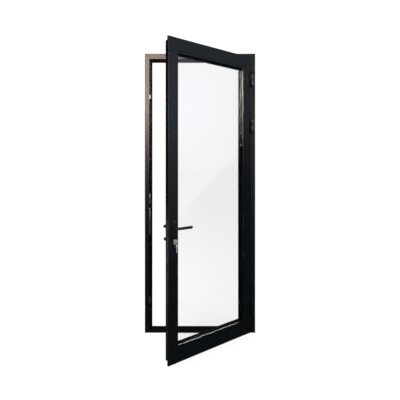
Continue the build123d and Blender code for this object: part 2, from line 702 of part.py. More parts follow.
def euro_profile(projection, clearance=0.0):
    """The pear-shaped cylinder section, run through the leaf and past both plates."""
    radius = CYLINDER_RADIUS + clearance
    stem = CYLINDER_STEM / 2 + clearance
    low = CYLINDER_Z + CYLINDER_RADIUS - CYLINDER_HEIGHT + CYLINDER_STEM / 2
    start, length = LEAF_FACE - projection, LEAF_DEPTH + 2 * projection
    body = rod((SPINDLE_X, start, CYLINDER_Z), BACK, radius, length)
    body += block(about(SPINDLE_X, 2 * stem), (start, start + length), (low, CYLINDER_Z))
    return body + rod((SPINDLE_X, start, low), BACK, stem, length)


def cylinder_body():
    """The two halves of the cylinder, joined under the cam."""
    body = euro_profile(CYLINDER_PROJECTION)
    reach = LEAF_DEPTH + 2 * CYLINDER_PROJECTION
    start = LEAF_FACE - CYLINDER_PROJECTION
    body -= rod((SPINDLE_X, start, CYLINDER_Z), BACK, PLUG_RADIUS + RUNNING_CLEARANCE, reach)
    gap_low = CYLINDER_Z + CYLINDER_RADIUS - CYLINDER_HEIGHT + CAM_BRIDGE
    gap_z = (gap_low, CYLINDER_Z + CYLINDER_HEIGHT)
    return body - block(about(SPINDLE_X, 4 * CYLINDER_RADIUS), about(LOCK_Y, CAM_GAP), gap_z)


def cylinder_plug():
    """The plug that carries the key, and the cam in its middle."""
    start = LEAF_FACE - CYLINDER_PROJECTION
    plug = rod((SPINDLE_X, start, CYLINDER_Z), BACK, PLUG_RADIUS, LEAF_DEPTH + 2 * CYLINDER_PROJECTION)
    slot = block(about(SPINDLE_X, KEY_THICKNESS), (start, LOCK_Y - CAM_WIDTH), about(CYLINDER_Z, KEY_BLADE))
    return plug - slot


def cylinder_cam():
    """The cam that the plug turns, resting with its lobe down."""
    depth = about(LOCK_Y, CAM_WIDTH)
    cam = rod((SPINDLE_X, depth[0], CYLINDER_Z), BACK, CYLINDER_RADIUS, CAM_WIDTH)
    lobe_z = (CYLINDER_Z - CAM_RADIUS, CYLINDER_Z)
    cam += block(about(SPINDLE_X, CYLINDER_RADIUS), depth, lobe_z)
    return cam - rod((SPINDLE_X, depth[0], CYLINDER_Z), BACK, PLUG_RADIUS, CAM_WIDTH)


def lever_bore(y, length, radius):
    """A round hole or hub on the spindle's axis."""
    return rod((SPINDLE_X, y, SPINDLE_HEIGHT), BACK, radius, length)


def bolt_x(length):
    """A retracted bolt's ends, flush with the lock edge."""
    return (LOCK_EDGE, LOCK_EDGE + length)


def bolt(height, size):
    """A retracted bolt with its leading corners rounded."""
    body = block(bolt_x(BOLT_BODY), about(LOCK_Y, BOLT_THICKNESS), about(height, size))
    nose = body.faces().sort_by(Axis.X)[0].edges().filter_by(Axis.Y)
    return fillet(nose, STRIKE_RADIUS / 2)


def latch_bolt():
    """The sprung latch, bevelled on the side that meets the strike first."""
    x = (LOCK_EDGE - LATCH_PROJECTION, LOCK_EDGE + LATCH_BODY)
    body = block(x, about(LOCK_Y, BOLT_THICKNESS), about(LATCH_HEIGHT, LATCH_SIZE))
    nose = body.faces().sort_by(Axis.X)[0].edges().filter_by(Axis.Z).sort_by(Axis.Y)[-1]
    body = chamfer(nose, BOLT_THICKNESS * LATCH_BEVEL, LATCH_PROJECTION * LATCH_BEVEL)
    return body + latch_tail()


def latch_tail():
    """The latch's tail, which the follower's arm pushes back from the edge."""
    tilt = Vector(0, 0, FOLLOWER_ARM).rotate(Axis.Y, -FOLLOWER_ARM_ANGLE)
    corner = Vector(FOLLOWER_ARM_WIDTH / 2, 0, 0).rotate(Axis.Y, -FOLLOWER_ARM_ANGLE) + tilt
    start = SPINDLE_X + corner.X + LATCH_TAIL_GAP
    foot = SPINDLE_HEIGHT + corner.Z + LATCH_TAIL_LIFT
    across = (start, start + LATCH_TAIL_WIDTH)
    return block(across, about(LOCK_Y, LATCH_TAIL_DEPTH), (foot, LATCH_HEIGHT))


def bolt_window(height, size, clearance, x):
    """The hole that a bolt moves through, over a stretch of x."""
    return block(x, about(LOCK_Y, BOLT_THICKNESS + 2 * clearance), about(height, size + 2 * clearance))


def lock_bolts():
    """Every bolt's height and size, with the latch first."""
    sizes = [(LATCH_HEIGHT, LATCH_SIZE), (DEAD_BOLT_HEIGHT, BOLT_HEIGHT)]
    return sizes + [(height, SIDE_BOLT_HEIGHT) for height in SIDE_BOLT_HEIGHTS.values()]


def lock_windows(clearance, x):
    """The holes for the latch and all bolts, over a stretch of x."""
    return [bolt_window(height, size, clearance, x) for height, size in lock_bolts()]


def case_spans():
    """The low and high end of the main case and of each side bolt's case."""
    spans = {"main": (SPINDLE_HEIGHT - CASE_DROP, SPINDLE_HEIGHT + CASE_RISE)}
    for name, height in SIDE_BOLT_HEIGHTS.items():
        spans[name] = about(height, SIDE_CASE_LENGTH)
    return spans


def rod_slot(z, clearance):
    """The drive rods' section, over a height."""
    x = about(LOCK_EDGE + ROD_OFFSET, ROD_THICKNESS + 2 * clearance)
    return block(x, about(LOCK_Y, ROD_WIDTH + 2 * clearance), z)


def case_shell(span):
    """A pressed lock case, open inside, with slots for the drive rods in its ends."""
    x = (CASE_FRONT, CASE_FRONT + CASE_WIDTH)
    shell = block(x, about(LOCK_Y, CASE_DEPTH), span)
    inside = (span[0] + CASE_WALL, span[1] - CASE_WALL)
    cavity_x = (x[0] + CASE_WALL, x[1] - CASE_WALL)
    shell -= block(cavity_x, about(LOCK_Y, CASE_DEPTH - 2 * CASE_WALL), inside)
    return shell - rod_slot(span, SLIDE_CLEARANCE)


def lock_case():
    """The main case, with the latch, the dead bolt, the spindle and the cylinder let through."""
    case = case_shell(case_spans()["main"])
    front = (CASE_FRONT, CASE_FRONT + CASE_WALL)
    for height, size in lock_bolts()[:2]:
        case -= bolt_window(height, size, SLIDE_CLEARANCE, front)
    case -= lever_bore(LOCK_Y - CASE_DEPTH / 2, CASE_DEPTH, FOLLOWER_RADIUS + RUNNING_CLEARANCE)
    case -= euro_profile(CYLINDER_PROJECTION, CASE_CLEARANCE)
    return case - cylinder_screw()


def side_case(name):
    """A side bolt's case."""
    front = (CASE_FRONT, CASE_FRONT + CASE_WALL)
    window = bolt_window(SIDE_BOLT_HEIGHTS[name], SIDE_BOLT_HEIGHT, SLIDE_CLEARANCE, front)
    return case_shell(case_spans()[name]) - window


def faceplate_screw_heights():
    """The heights of the faceplate's screws, one above and one below each case."""
    heights = []
    for low, high in case_spans().values():
        heights += [low - SCREW_HEAD_RADIUS * 2, high + SCREW_HEAD_RADIUS * 2]
    return heights


def faceplate_screws():
    """The faceplate's screws, driven into the stile."""
    return [screw((LOCK_EDGE, LOCK_Y, z), RIGHT, SCREW_LENGTH / 2) for z in faceplate_screw_heights()]


def cylinder_screw():
    """The long screw that holds the cylinder, through the faceplate."""
    z = CYLINDER_Z + CYLINDER_RADIUS - CYLINDER_HEIGHT + CYLINDER_STEM
    return screw((LOCK_EDGE, LOCK_Y, z), RIGHT, BACKSET)


def lock_faceplate():
    """The long faceplate with round ends, set in the hardware groove."""
    x = (LOCK_EDGE, CASE_FRONT)
    low = SIDE_BOLT_HEIGHTS["bottom"] - FACEPLATE_OVERHANG
    high = SIDE_BOLT_HEIGHTS["top"] + FACEPLATE_OVERHANG
    plate = block(x, about(LOCK_Y, HARDWARE_GROOVE_WIDTH), (low, high))
    plate = fillet(plate.edges().filter_by(Axis.X), FACEPLATE_END_RADIUS)
    for window in lock_windows(SLIDE_CLEARANCE, x):
        plate -= window
    for driven in faceplate_screws() + [cylinder_screw()]:
        plate -= driven
    return plate


def drive_rods():
    """The rods that carry the key's turn up and down to the side bolts."""
    spans = case_spans()
    upper = (spans["main"][1] - ROD_ENTRY, spans["top"][0] + ROD_ENTRY + BOLT_THROW)
    lower = (spans["bottom"][1] - ROD_ENTRY, spans["main"][0] + ROD_ENTRY + BOLT_THROW)
    return [rod_slot(upper, 0), rod_slot(lower, 0)]


def follower():
    """The hub that the spindle turns, with the arm that draws the latch."""
    hub = lever_bore(LOCK_Y - CASE_DEPTH / 2, CASE_DEPTH, FOLLOWER_RADIUS)
    arm = Pos(0, 0, FOLLOWER_ARM / 2) * Box(FOLLOWER_ARM_WIDTH, FOLLOWER_ARM_THICKNESS, FOLLOWER_ARM)
    hub += Pos(SPINDLE_X, LOCK_Y, SPINDLE_HEIGHT) * Rot(0, -FOLLOWER_ARM_ANGLE, 0) * arm
    square = about(SPINDLE_HEIGHT, SPINDLE_SIZE)
    return hub - block(about(SPINDLE_X, SPINDLE_SIZE), about(LOCK_Y, CASE_DEPTH), square)


def strike(span, pockets):
    """A cast strike on the lock jamb, with a pocket for each bolt."""
    x = (REBATE_X, REBATE_X + STRIKE_THICKNESS)
    plate = block(x, about(LOCK_Y, STRIKE_WIDTH), span)
    plate = fillet(plate.edges().filter_by(Axis.X), STRIKE_RADIUS)
    plate = fillet(plate.faces().sort_by(Axis.X)[-1].edges(), STRIKE_EDGE_RADIUS)
    for height, size in pockets:
        plate -= bolt_window(height, size, POCKET_CLEARANCE, x)
    for point in strike_screw_points(span):
        plate -= screw(point, LEFT)
    return plate


def strike_screw_points(span):
    """A screw near each end of a strike."""
    inset = SCREW_HEAD_RADIUS + POCKET_CLEARANCE
    return [(REBATE_X + STRIKE_THICKNESS, LOCK_Y, z) for z in (span[0] + inset, span[1] - inset)]


def strikes():
    """The four strikes and their screws."""
    spans = {"main": MAIN_STRIKE}
    pockets = {"main": lock_bolts()[:2]}
    for name, height in SIDE_BOLT_HEIGHTS.items():
        spans[name] = about(height, SIDE_STRIKE_LENGTHS[name])
        pockets[name] = [(height, SIDE_BOLT_HEIGHT)]
    nodes = {f"strike_{name}": strike(span, pockets[name]) for name, span in spans.items()}
    screws = [screw(point, LEFT) for span in spans.values() for point in strike_screw_points(span)]
    return nodes, screws


# Handles and key

def plate_span():
    """The backplates' low and high ends."""
    return (CYLINDER_Z - PLATE_BELOW_CYLINDER, SPINDLE_HEIGHT + PLATE_ABOVE_SPINDLE)


def plate_screws(side):
    """A backplate's two screws; side is -1 on the front and 1 on the back."""
    y = LEAF_FACE - PLATE_THICKNESS if side < 0 else LEAF_BACK + PLATE_THICKNESS
    heights = (SPINDLE_HEIGHT + PLATE_SCREW_RISE, CYLINDER_Z - PLATE_SCREW_RISE)
    return [screw((SPINDLE_X, y, z), BACK if side < 0 else FORWARD) for z in heights]


def backplate(side):
    """A narrow plate behind a lever, holding its bush and letting the cylinder through."""
    y = (LEAF_FACE - PLATE_THICKNESS, LEAF_FACE) if side < 0 else (LEAF_BACK, LEAF_BACK + PLATE_THICKNESS)
    plate = block(about(SPINDLE_X, PLATE_WIDTH), y, plate_span())
    plate = fillet(plate.edges().filter_by(Axis.Y), (PLATE_WIDTH - PLATE_END_FLAT) / 2)
    outer_face = plate.faces().sort_by(Axis.Y)[0 if side < 0 else -1]
    plate = fillet(outer_face.edges(), PLATE_EDGE_RADIUS)
    plate -= lever_bore(y[0], PLATE_THICKNESS, LEVER_RADIUS + RUNNING_CLEARANCE + LEVER_BUSH_WALL)
    plate -= euro_profile(CYLINDER_PROJECTION, CASE_CLEARANCE)
    for driven in plate_screws(side):
        plate -= driven
    return plate


def lever_bush(side):
    """The plain bush that the lever's neck turns in."""
    y = LEAF_FACE - PLATE_THICKNESS if side < 0 else LEAF_BACK
    outer = lever_bore(y, PLATE_THICKNESS, LEVER_RADIUS + RUNNING_CLEARANCE + LEVER_BUSH_WALL)
    return outer - lever_bore(y, PLATE_THICKNESS, LEVER_RADIUS + RUNNING_CLEARANCE)


def lever(side):
    """A round bar bent from the spindle's axis to point at the hinges."""
    surface, reach = (LEAF_FACE, FRONT_LEVER_REACH) if side < 0 else (LEAF_BACK, REAR_LEVER_REACH)
    root = (SPINDLE_X, surface, SPINDLE_HEIGHT)
    elbow = (SPINDLE_X, surface + side * reach, SPINDLE_HEIGHT)
    tip = (SPINDLE_X + LEVER_LENGTH, surface + side * reach, SPINDLE_HEIGHT)
    path = FilletPolyline(root, elbow, tip, radius=LEVER_BEND)
    start = Plane(origin=root, z_dir=FORWARD if side < 0 else BACK)
    bar = sweep(start * Circle(LEVER_RADIUS), path=path)
    bar = fillet(bar.faces().sort_by(Axis.X)[-1].edges(), LEVER_END_RADIUS)
    square = about(SPINDLE_HEIGHT, SPINDLE_SIZE)
    depth = sorted((surface, surface + side * LEVER_SOCKET))
    return bar - block(about(SPINDLE_X, SPINDLE_SIZE), depth, square)


def spindle():
    """The square bar that joins both levers through the follower."""
    y = (LEAF_FACE - LEVER_SOCKET, LEAF_BACK + LEVER_SOCKET)
    return block(about(SPINDLE_X, SPINDLE_SIZE), y, about(SPINDLE_HEIGHT, SPINDLE_SIZE))


def collar(side):
    """The bright collar round the cylinder, on the backplate."""
    height = COLLAR_RISE + COLLAR_DROP
    middle = CYLINDER_Z + (COLLAR_RISE - COLLAR_DROP) / 2
    y = LEAF_FACE - PLATE_THICKNESS - COLLAR_THICKNESS if side < 0 else LEAF_BACK + PLATE_THICKNESS
    body = block(about(SPINDLE_X, COLLAR_WIDTH), (y, y + COLLAR_THICKNESS), about(middle, height))
    body = fillet(body.edges().filter_by(Axis.Y), (COLLAR_WIDTH - COLLAR_END_FLAT) / 2)
    outer_face = body.faces().sort_by(Axis.Y)[0 if side < 0 else -1]
    body = fillet(outer_face.edges(), COLLAR_EDGE_RADIUS)
    return body - euro_profile(CYLINDER_PROJECTION, CASE_CLEARANCE)


KEY_FACE = LEAF_FACE - CYLINDER_PROJECTION
BOW_Y = KEY_FACE - KEY_SHOULDER - KEY_BOW_RADIUS
RING_Y = BOW_Y - KEY_HOLE_OFFSET
RING_TOP = CYLINDER_Z - KEY_HOLE_RADIUS + RING_WIRE + HANG_CLEARANCE
RING_BOTTOM = RING_TOP - 2 * RING_RADIUS
SPARE_HOLE_Z = RING_BOTTOM + RING_WIRE + HANG_CLEARANCE - KEY_HOLE_RADIUS
SPARE_BOW_Z = SPARE_HOLE_Z - KEY_HOLE_OFFSET


def disc(y, z, radius):
    """A round key bow, square to the leaf."""
    return rod((SPINDLE_X - KEY_THICKNESS / 2, y, z), RIGHT, radius, KEY_THICKNESS)


def key():
    """The key in the cylinder."""
    bow = disc(BOW_Y, CYLINDER_Z, KEY_BOW_RADIUS) - disc(RING_Y, CYLINDER_Z, KEY_HOLE_RADIUS)
    blade_y = (BOW_Y, LOCK_Y - CAM_WIDTH)
    blade = block(about(SPINDLE_X, KEY_THICKNESS), blade_y, about(CYLINDER_Z, KEY_BLADE))
    return bow + (blade - disc(RING_Y, CYLINDER_Z, KEY_HOLE_RADIUS))


def spare_key():
    """The second key, hanging from the ring, with its bit cut."""
    bow = disc(RING_Y, SPARE_BOW_Z, SPARE_BOW_RADIUS)
    end = SPARE_BOW_Z - SPARE_BOW_RADIUS - SPARE_BLADE_LENGTH
    blade = block(about(SPINDLE_X, KEY_THICKNESS), about(RING_Y, KEY_BLADE), (end, SPARE_BOW_Z))
    edge = RING_Y + KEY_BLADE / 2
    for cut in range(1, KEY_CUTS + 1):
        z = end + cut * SPARE_BLADE_LENGTH / (KEY_CUTS + 2)
        depth = KEY_BLADE / 4 + (cut % 2) * KEY_BLADE / 8
        notch_y = (edge - depth, edge + depth)
        blade -= block(about(SPINDLE_X, KEY_THICKNESS), notch_y, about(z, KEY_CUT_WIDTH))
    return bow + blade - disc(RING_Y, SPARE_HOLE_Z, KEY_HOLE_RADIUS)


def key_ring():
    """The split ring between the keys."""
    centre = (SPINDLE_X, RING_Y, (RING_TOP + RING_BOTTOM) / 2)
    return Plane(origin=centre, z_dir=BACK) * Torus(RING_RADIUS, RING_WIRE)


def thumb_turn():
    """The thumb turn on the inside, with two flats for the fingers."""
    start = LEAF_BACK + CYLINDER_PROJECTION
    stem_length = TURN_KNOB_START - CYLINDER_PROJECTION
    stem = rod((SPINDLE_X, start, CYLINDER_Z), BACK, TURN_STEM_RADIUS, stem_length)
    knob_y = (LEAF_BACK + TURN_KNOB_START, LEAF_BACK + TURN_KNOB_END)
    knob = rod((SPINDLE_X, knob_y[0], CYLINDER_Z), BACK, TURN_KNOB_RADIUS, knob_y[1] - knob_y[0])
    knob = fillet(knob.edges(), TURN_EDGE_RADIUS)
    for side in (-1, 1):
        near, far = SPINDLE_X + side * TURN_FLAT, SPINDLE_X + side * 2 * TURN_KNOB_RADIUS
        knob -= block(sorted((near, far)), knob_y, about(CYLINDER_Z, 4 * TURN_KNOB_RADIUS))
    return stem + knob


# Holes that the hardware needs in the extrusions

def lock_jamb():
    """The lock jamb, slotted for the bolts and drilled for the strikes' screws."""
    jamb = frame_jamb(-1)
    wall = (REBATE_X - 2 * FRAME_WALL, REBATE_X)
    for height, size in lock_bolts()[1:]:
        jamb -= bolt_window(height, size, POCKET_CLEARANCE, wall)
    for driven in strikes()[1]:
        jamb -= driven
    return jamb


def hinge_jamb():
    """The hinge jamb, drilled for the hinges' screws."""
    jamb = frame_jamb(1)
    for driven in hinge_screws(False):
        jamb -= driven
    return jamb


def hinge_stile():
    """The hinge stile, drilled for the hinges' screws."""
    stile = leaf_stile(1)
    for driven in hinge_screws(True):
        stile -= driven
    return stile


def lock_stile():
    """The lock stile, mortised for the cases and bored for the spindle and the cylinder."""
    stile = leaf_stile(-1)
    clear = CASE_CLEARANCE
    mortise_x = (CASE_FRONT, CASE_FRONT + CASE_WIDTH + clear)
    for low, high in case_spans().values():
        stile -= block(mortise_x, about(LOCK_Y, CASE_DEPTH + 2 * clear), (low - clear, high + clear))
    stile -= lever_bore(LEAF_FACE, LEAF_DEPTH, FOLLOWER_RADIUS)
    stile -= euro_profile(CYLINDER_PROJECTION, clear)
    for driven in plate_screws(-1) + plate_screws(1) + faceplate_screws():
        stile -= driven
    return stile


def leaf_screws():
    """Every screw that is driven into the leaf."""
    lock = faceplate_screws() + [cylinder_screw()] + plate_screws(-1) + plate_screws(1)
    return lock + hinge_screws(True)


# Everything that stays with the frame
frame_nodes = {
    "frame_head": frame_head(),
    "frame_lock_jamb": lock_jamb(),
    "frame_hinge_jamb": hinge_jamb(),
    "threshold": threshold(),
    "frame_connectors": group(head_connectors() + sill_end_blocks()),
    "rebate_seal": rebate_seal(),
    "frame_screws": group(strikes()[1] + hinge_screws(False)),
    "hinge_pins": group(hinge_pin(height) for height in HINGE_HEIGHTS.values()),
}
frame_nodes |= strikes()[0]
for name, height in HINGE_HEIGHTS.items():
    frame_nodes[f"{name}_hinge_frame_half"] = hinge_half(height, False)

# Everything that swings with the leaf
leaf_nodes = {
    "leaf_lock_stile": lock_stile(),
    "leaf_hinge_stile": hinge_stile(),
    "leaf_top_rail": leaf_rail(TOP_RAIL_FACE, True),
    "leaf_bottom_rail": leaf_rail(BOTTOM_RAIL_FACE, False),
    "stile_end_pieces": group(stile_end_pieces()),
    "rail_connectors": group(rail_connectors()),
    "flange_seal": flange_seal(),
    "lock_faceplate": lock_faceplate(),
    "leaf_screws": group(leaf_screws()),
    "lock_case": lock_case(),
    "side_bolt_cases": group(side_case(name) for name in SIDE_BOLT_HEIGHTS),
    "cylinder_body": cylinder_body() - cylinder_screw(),
    "cylinder_collars": group([collar(-1), collar(1)]),
    "front_backplate": backplate(-1),
    "rear_backplate": backplate(1),
    "lever_bushes": group([lever_bush(-1), lever_bush(1)]),
    "hinge_caps": group(hinge_dome(height, True) for height in HINGE_HEIGHTS.values()),
    "hinge_bushes": group(hinge_bush(height) for height in HINGE_HEIGHTS.values()),
}
leaf_nodes |= beads()
leaf_nodes |= glazing()
for name, height in HINGE_HEIGHTS.items():
    leaf_nodes[f"{name}_hinge_leaf_half"] = hinge_half(height, True)

# What moves on the leaf
leaf_nodes |= {
    "front_lever": lever(-1),
    "rear_lever": lever(1),
    "spindle": spindle(),
    "lock_follower": follower(),
    "latch_bolt": latch_bolt(),
    "locking_bolts": group(
        [bolt(DEAD_BOLT_HEIGHT, BOLT_HEIGHT)]
        + [bolt(height, SIDE_BOLT_HEIGHT) for height in SIDE_BOLT_HEIGHTS.values()]
    ),
    "drive_rods": group(drive_rods()),
    "cylinder_plug": cylinder_plug(),
    "cylinder_cam": cylinder_cam(),
    "key": key(),
    "key_ring": key_ring(),
    "spare_key": spare_key(),
    "thumb_turn": thumb_turn(),
}

hinge_line = Axis((HINGE_X, HINGE_Y, 0), UP)
for name, shape in frame_nodes.items():
    export_step(shape, f"parts/{name}.step")
for name, shape in leaf_nodes.items():
    export_step(shape.rotate(hinge_line, OPEN_ANGLE), f"parts/{name}.step")
print(len(frame_nodes) + len(leaf_nodes), "nodes")
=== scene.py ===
"""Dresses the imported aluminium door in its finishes, details and studio."""

import json
import logging
import math
from dataclasses import dataclass, field
from enum import Enum

import bpy
from mathutils import Matrix, Vector

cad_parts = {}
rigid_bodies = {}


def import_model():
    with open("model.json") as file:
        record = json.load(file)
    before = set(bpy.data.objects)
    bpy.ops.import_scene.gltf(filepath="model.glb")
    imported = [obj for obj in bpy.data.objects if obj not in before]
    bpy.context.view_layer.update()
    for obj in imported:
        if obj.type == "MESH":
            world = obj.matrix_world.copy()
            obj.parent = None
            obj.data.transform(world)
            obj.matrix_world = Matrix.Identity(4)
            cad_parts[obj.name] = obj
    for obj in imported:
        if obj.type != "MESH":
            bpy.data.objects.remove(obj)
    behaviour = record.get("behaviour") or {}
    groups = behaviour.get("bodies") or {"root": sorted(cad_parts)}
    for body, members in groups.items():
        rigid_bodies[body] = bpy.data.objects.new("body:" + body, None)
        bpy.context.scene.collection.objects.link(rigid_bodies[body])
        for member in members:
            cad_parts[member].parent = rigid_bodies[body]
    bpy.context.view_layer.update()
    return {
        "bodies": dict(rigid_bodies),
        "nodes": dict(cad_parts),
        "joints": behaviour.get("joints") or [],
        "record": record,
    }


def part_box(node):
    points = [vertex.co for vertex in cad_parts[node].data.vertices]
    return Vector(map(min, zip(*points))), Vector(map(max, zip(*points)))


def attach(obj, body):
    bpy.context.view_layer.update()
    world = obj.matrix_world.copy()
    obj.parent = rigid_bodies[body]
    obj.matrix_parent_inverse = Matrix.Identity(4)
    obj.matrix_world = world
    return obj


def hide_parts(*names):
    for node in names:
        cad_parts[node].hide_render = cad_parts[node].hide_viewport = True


LOG = logging.getLogger("door")
MM = 0.001
Piece = bpy.types.Object
Tree = bpy.types.NodeTree
Socket = bpy.types.NodeSocket
OPEN_ANGLE = math.radians(42)
# Points closer than this many metres are one point, and a shorter run along an axis is none.
WELD = 1e-6
NO_RUN = 1e-5
# The grain's and the clouds' noise, the noise at the lowest and highest roughness, and the relief's strength.
GRAIN = {"Detail": 3.0, "Roughness": 0.6}
CLOUDS = {"Scale": 6.0, "Detail": 2.0}
GLOSS_SPAN = (0.7, 1.3)
RELIEF = 0.6
# A ray whose depth is above this has bounced.
ONE_BOUNCE = 0.5
# The distance and radius of each station of a countersunk hole.
COUNTERSINK = ((-1.0 * MM, 4.5 * MM), (0.0, 4.5 * MM), (2.2 * MM, 2.4 * MM))


def srgb(code: str) -> tuple[float, float, float, float]:
    """Turn a hex colour into linear values.

    Args:
        code: Six hex digits, red first.

    Returns:
        Linear red, green and blue, and a full alpha.
    """
    parts = [int(code[i : i + 2], 16) / 255 for i in (0, 2, 4)]
    linear = [p / 12.92 if p <= 0.04045 else ((p + 0.055) / 1.055) ** 2.4 for p in parts]
    return (*linear, 1.0)


def add_node(tree: Tree, kind: str, links: dict | None = None, **settings) -> bpy.types.Node:
    """Add one node with its settings and links.

    Args:
        tree: The material's or world's node tree.
        kind: The node's class name.
        links: Input name or number to the output socket that feeds it.
        **settings: Properties of the node, or its inputs in a dict named inputs.

    Returns:
        The new node.
    """
    node = tree.nodes.new(kind)
    numbers = settings.pop("inputs", {})
    for name, value in settings.items():
        setattr(node, name, value)
    for name, value in numbers.items():
        node.inputs[name].default_value = value
    for name, source in (links or {}).items():
        tree.links.new(source, node.inputs[name])
    return node


def maths(tree: Tree, kind: str, *terms: Socket | float) -> Socket:
    """Add one sum to a node tree.

    Args:
        tree: The node tree.
        kind: The operation.
        *terms: A socket or a float for each input.

    Returns:
        The result's socket.
    """
    numbers = {place: term for place, term in enumerate(terms) if isinstance(term, float)}
    links = {place: term for place, term in enumerate(terms) if place not in numbers}
    return add_node(tree, "ShaderNodeMath", links, inputs=numbers, operation=kind).outputs[0]


def ramp(
    tree: Tree, value: Socket, start: tuple[float, float],
    end: tuple[float, float] = (0.0, 1.0),
) -> Socket:
    """Map one span of values to another and hold it at the ends.

    Args:
        tree: The node tree.
        value: What is mapped.
        start: The span it comes from.
        end: The span it goes to.

    Returns:
        The result's socket.
    """
    numbers = {"From Min": start[0], "From Max": start[1], "To Min": end[0], "To Max": end[1]}
    return add_node(tree, "ShaderNodeMapRange", {"Value": value}, inputs=numbers).outputs[0]


def blank_material(name: str) -> tuple[bpy.types.Material, Tree]:
    """Make a material without nodes.

    Args:
        name: Its name.

    Returns:
        The material and its empty tree.
    """
    material = bpy.data.materials.new(name)
    material.use_nodes = True
    material.node_tree.nodes.clear()
    return material, material.node_tree


@dataclass(frozen=True)
class Finish:
    """A finish with a fine grain in its gloss and relief, and slow clouds in its gloss.

    Args:
        name: What the finish is.
        colour: The base colour in hex.
        metallic: 1 for bare metal.
        roughness: The lowest and highest roughness over the grain.
        grain_mm: The size of the grain.
        relief_mm: The height of the grain.
        stretch: How far the grain is drawn out along X, Y and Z.
        specular: The specular level.
    """

    name: str
    colour: str
    metallic: float = 0.0
    roughness: tuple[float, float] = (0.3, 0.4)
    grain_mm: float = 1.0
    relief_mm: float = 0.01
    stretch: tuple[float, float, float] = (1.0, 1.0, 1.0)
    specular: float = 0.5

    def make(self) -> bpy.types.Material:
        """Build the material.

        Returns:
            A material whose grain follows Object coordinates.
        """
        material, tree = blank_material(self.name)
        place = add_node(tree, "ShaderNodeTexCoord").outputs["Object"]
        drawn = add_node(
            tree, "ShaderNodeMapping", {"Vector": place}, inputs={"Scale": [1 / share for share in self.stretch]}
        )
        grain = add_node(
            tree, "ShaderNodeTexNoise", {"Vector": drawn.outputs[0]},
            inputs={"Scale": 1 / (self.grain_mm * MM), **GRAIN},
        ).outputs["Fac"]
        cloud = add_node(tree, "ShaderNodeTexNoise", {"Vector": place}, inputs=CLOUDS.copy()).outputs["Fac"]
        gloss = ramp(tree, maths(tree, "ADD", grain, cloud), GLOSS_SPAN, self.roughness)
        bump = add_node(
            tree, "ShaderNodeBump", {"Height": grain},
            inputs={"Strength": RELIEF, "Distance": self.relief_mm * MM},
        )
        shader = add_node(
            tree, "ShaderNodeBsdfPrincipled", {"Roughness": gloss, "Normal": bump.outputs[0]},
            inputs={
                "Base Color": srgb(self.colour), "Metallic": self.metallic, "Specular IOR Level": self.specular,
            },
        )
        add_node(tree, "ShaderNodeOutputMaterial", {"Surface": shader.outputs[0]})
        return material


@dataclass(frozen=True)
class FloatGlass:
    """Clear float glass, polished and barely uneven.

    Args:
        name: What the finish is.
        colour: The tint in hex.
        ior: Soda-lime glass.
        waves: The unevenness's scale per metre.
        strength: Its strength.
        height_mm: Its height.
    """

    name: str = "clear_float_glass"
    colour: str = "ffffff"
    ior: float = 1.5
    waves: float = 3.0
    strength: float = 0.02
    height_mm: float = 0.1

    def make(self) -> bpy.types.Material:
        """Build the material.

        Returns:
            A transmitting material.
        """
        material, tree = blank_material(self.name)
        place = add_node(tree, "ShaderNodeTexCoord")
        wave = add_node(
            tree, "ShaderNodeTexNoise", {"Vector": place.outputs["Object"]}, inputs={"Scale": self.waves}
        )
        bump = add_node(
            tree, "ShaderNodeBump", {"Height": wave.outputs["Fac"]},
            inputs={"Strength": self.strength, "Distance": self.height_mm * MM},
        )
        shader = add_node(
            tree, "ShaderNodeBsdfPrincipled", {"Normal": bump.outputs[0]},
            inputs={
                "Base Color": srgb(self.colour), "Roughness": 0.0, "IOR": self.ior, "Transmission Weight": 1.0,
            },
        )
        add_node(tree, "ShaderNodeOutputMaterial", {"Surface": shader.outputs[0]})
        return material


class Surface(Enum):
    """The door's finishes."""

    # Polyester powder coat, sprayed and baked: a satin black with a very fine orange peel.
    POWDER_COAT = Finish("black_powder_coat", "04090d", roughness=(0.24, 0.3), grain_mm=1.6, relief_mm=0.012)
    # Powder-coated castings and bars: the same black, a little glossier on small round forms.
    HARDWARE = Finish("black_coated_hardware", "040607", roughness=(0.26, 0.34), grain_mm=1.2, relief_mm=0.01)
    # Extruded aluminium as it leaves the press, with lines drawn along it.
    MILL = Finish("mill_aluminium", "c9cacb", 1.0, (0.32, 0.45), 0.6, 0.006, (1.0, 1.0, 30.0))
    # EPDM, extruded and cured: a dull soft black.
    RUBBER = Finish("epdm_rubber", "050505", roughness=(0.6, 0.75), grain_mm=0.8, relief_mm=0.02, specular=0.1)
    # Stainless sheet and castings with a satin belt finish, drawn out up and down.
    STEEL = Finish("satin_stainless_steel", "9ca6b0", 1.0, (0.28, 0.42), 0.5, 0.006, (1.0, 1.0, 14.0))
    # Satin nickel plate over turned brass: bright but brushed, with faint turning marks.
    CHROME = Finish("satin_nickel_plate", "dcdad4", 1.0, (0.34, 0.44), 0.4, 0.003)
    # Moulded nylon: a dull black with a fine spark-eroded grain.
    NYLON = Finish("moulded_nylon", "101010", roughness=(0.5, 0.62), grain_mm=0.7, relief_mm=0.015)
    GLASS = FloatGlass()


SLOT_SURFACES = {
    "black_aluminium": Surface.POWDER_COAT,
    "black_hardware": Surface.HARDWARE,
    "mill_aluminium": Surface.MILL,
    "black_rubber": Surface.RUBBER,
    "glass": Surface.GLASS,
    "satin_steel": Surface.STEEL,
    "chrome": Surface.CHROME,
    "nylon": Surface.NYLON,
}


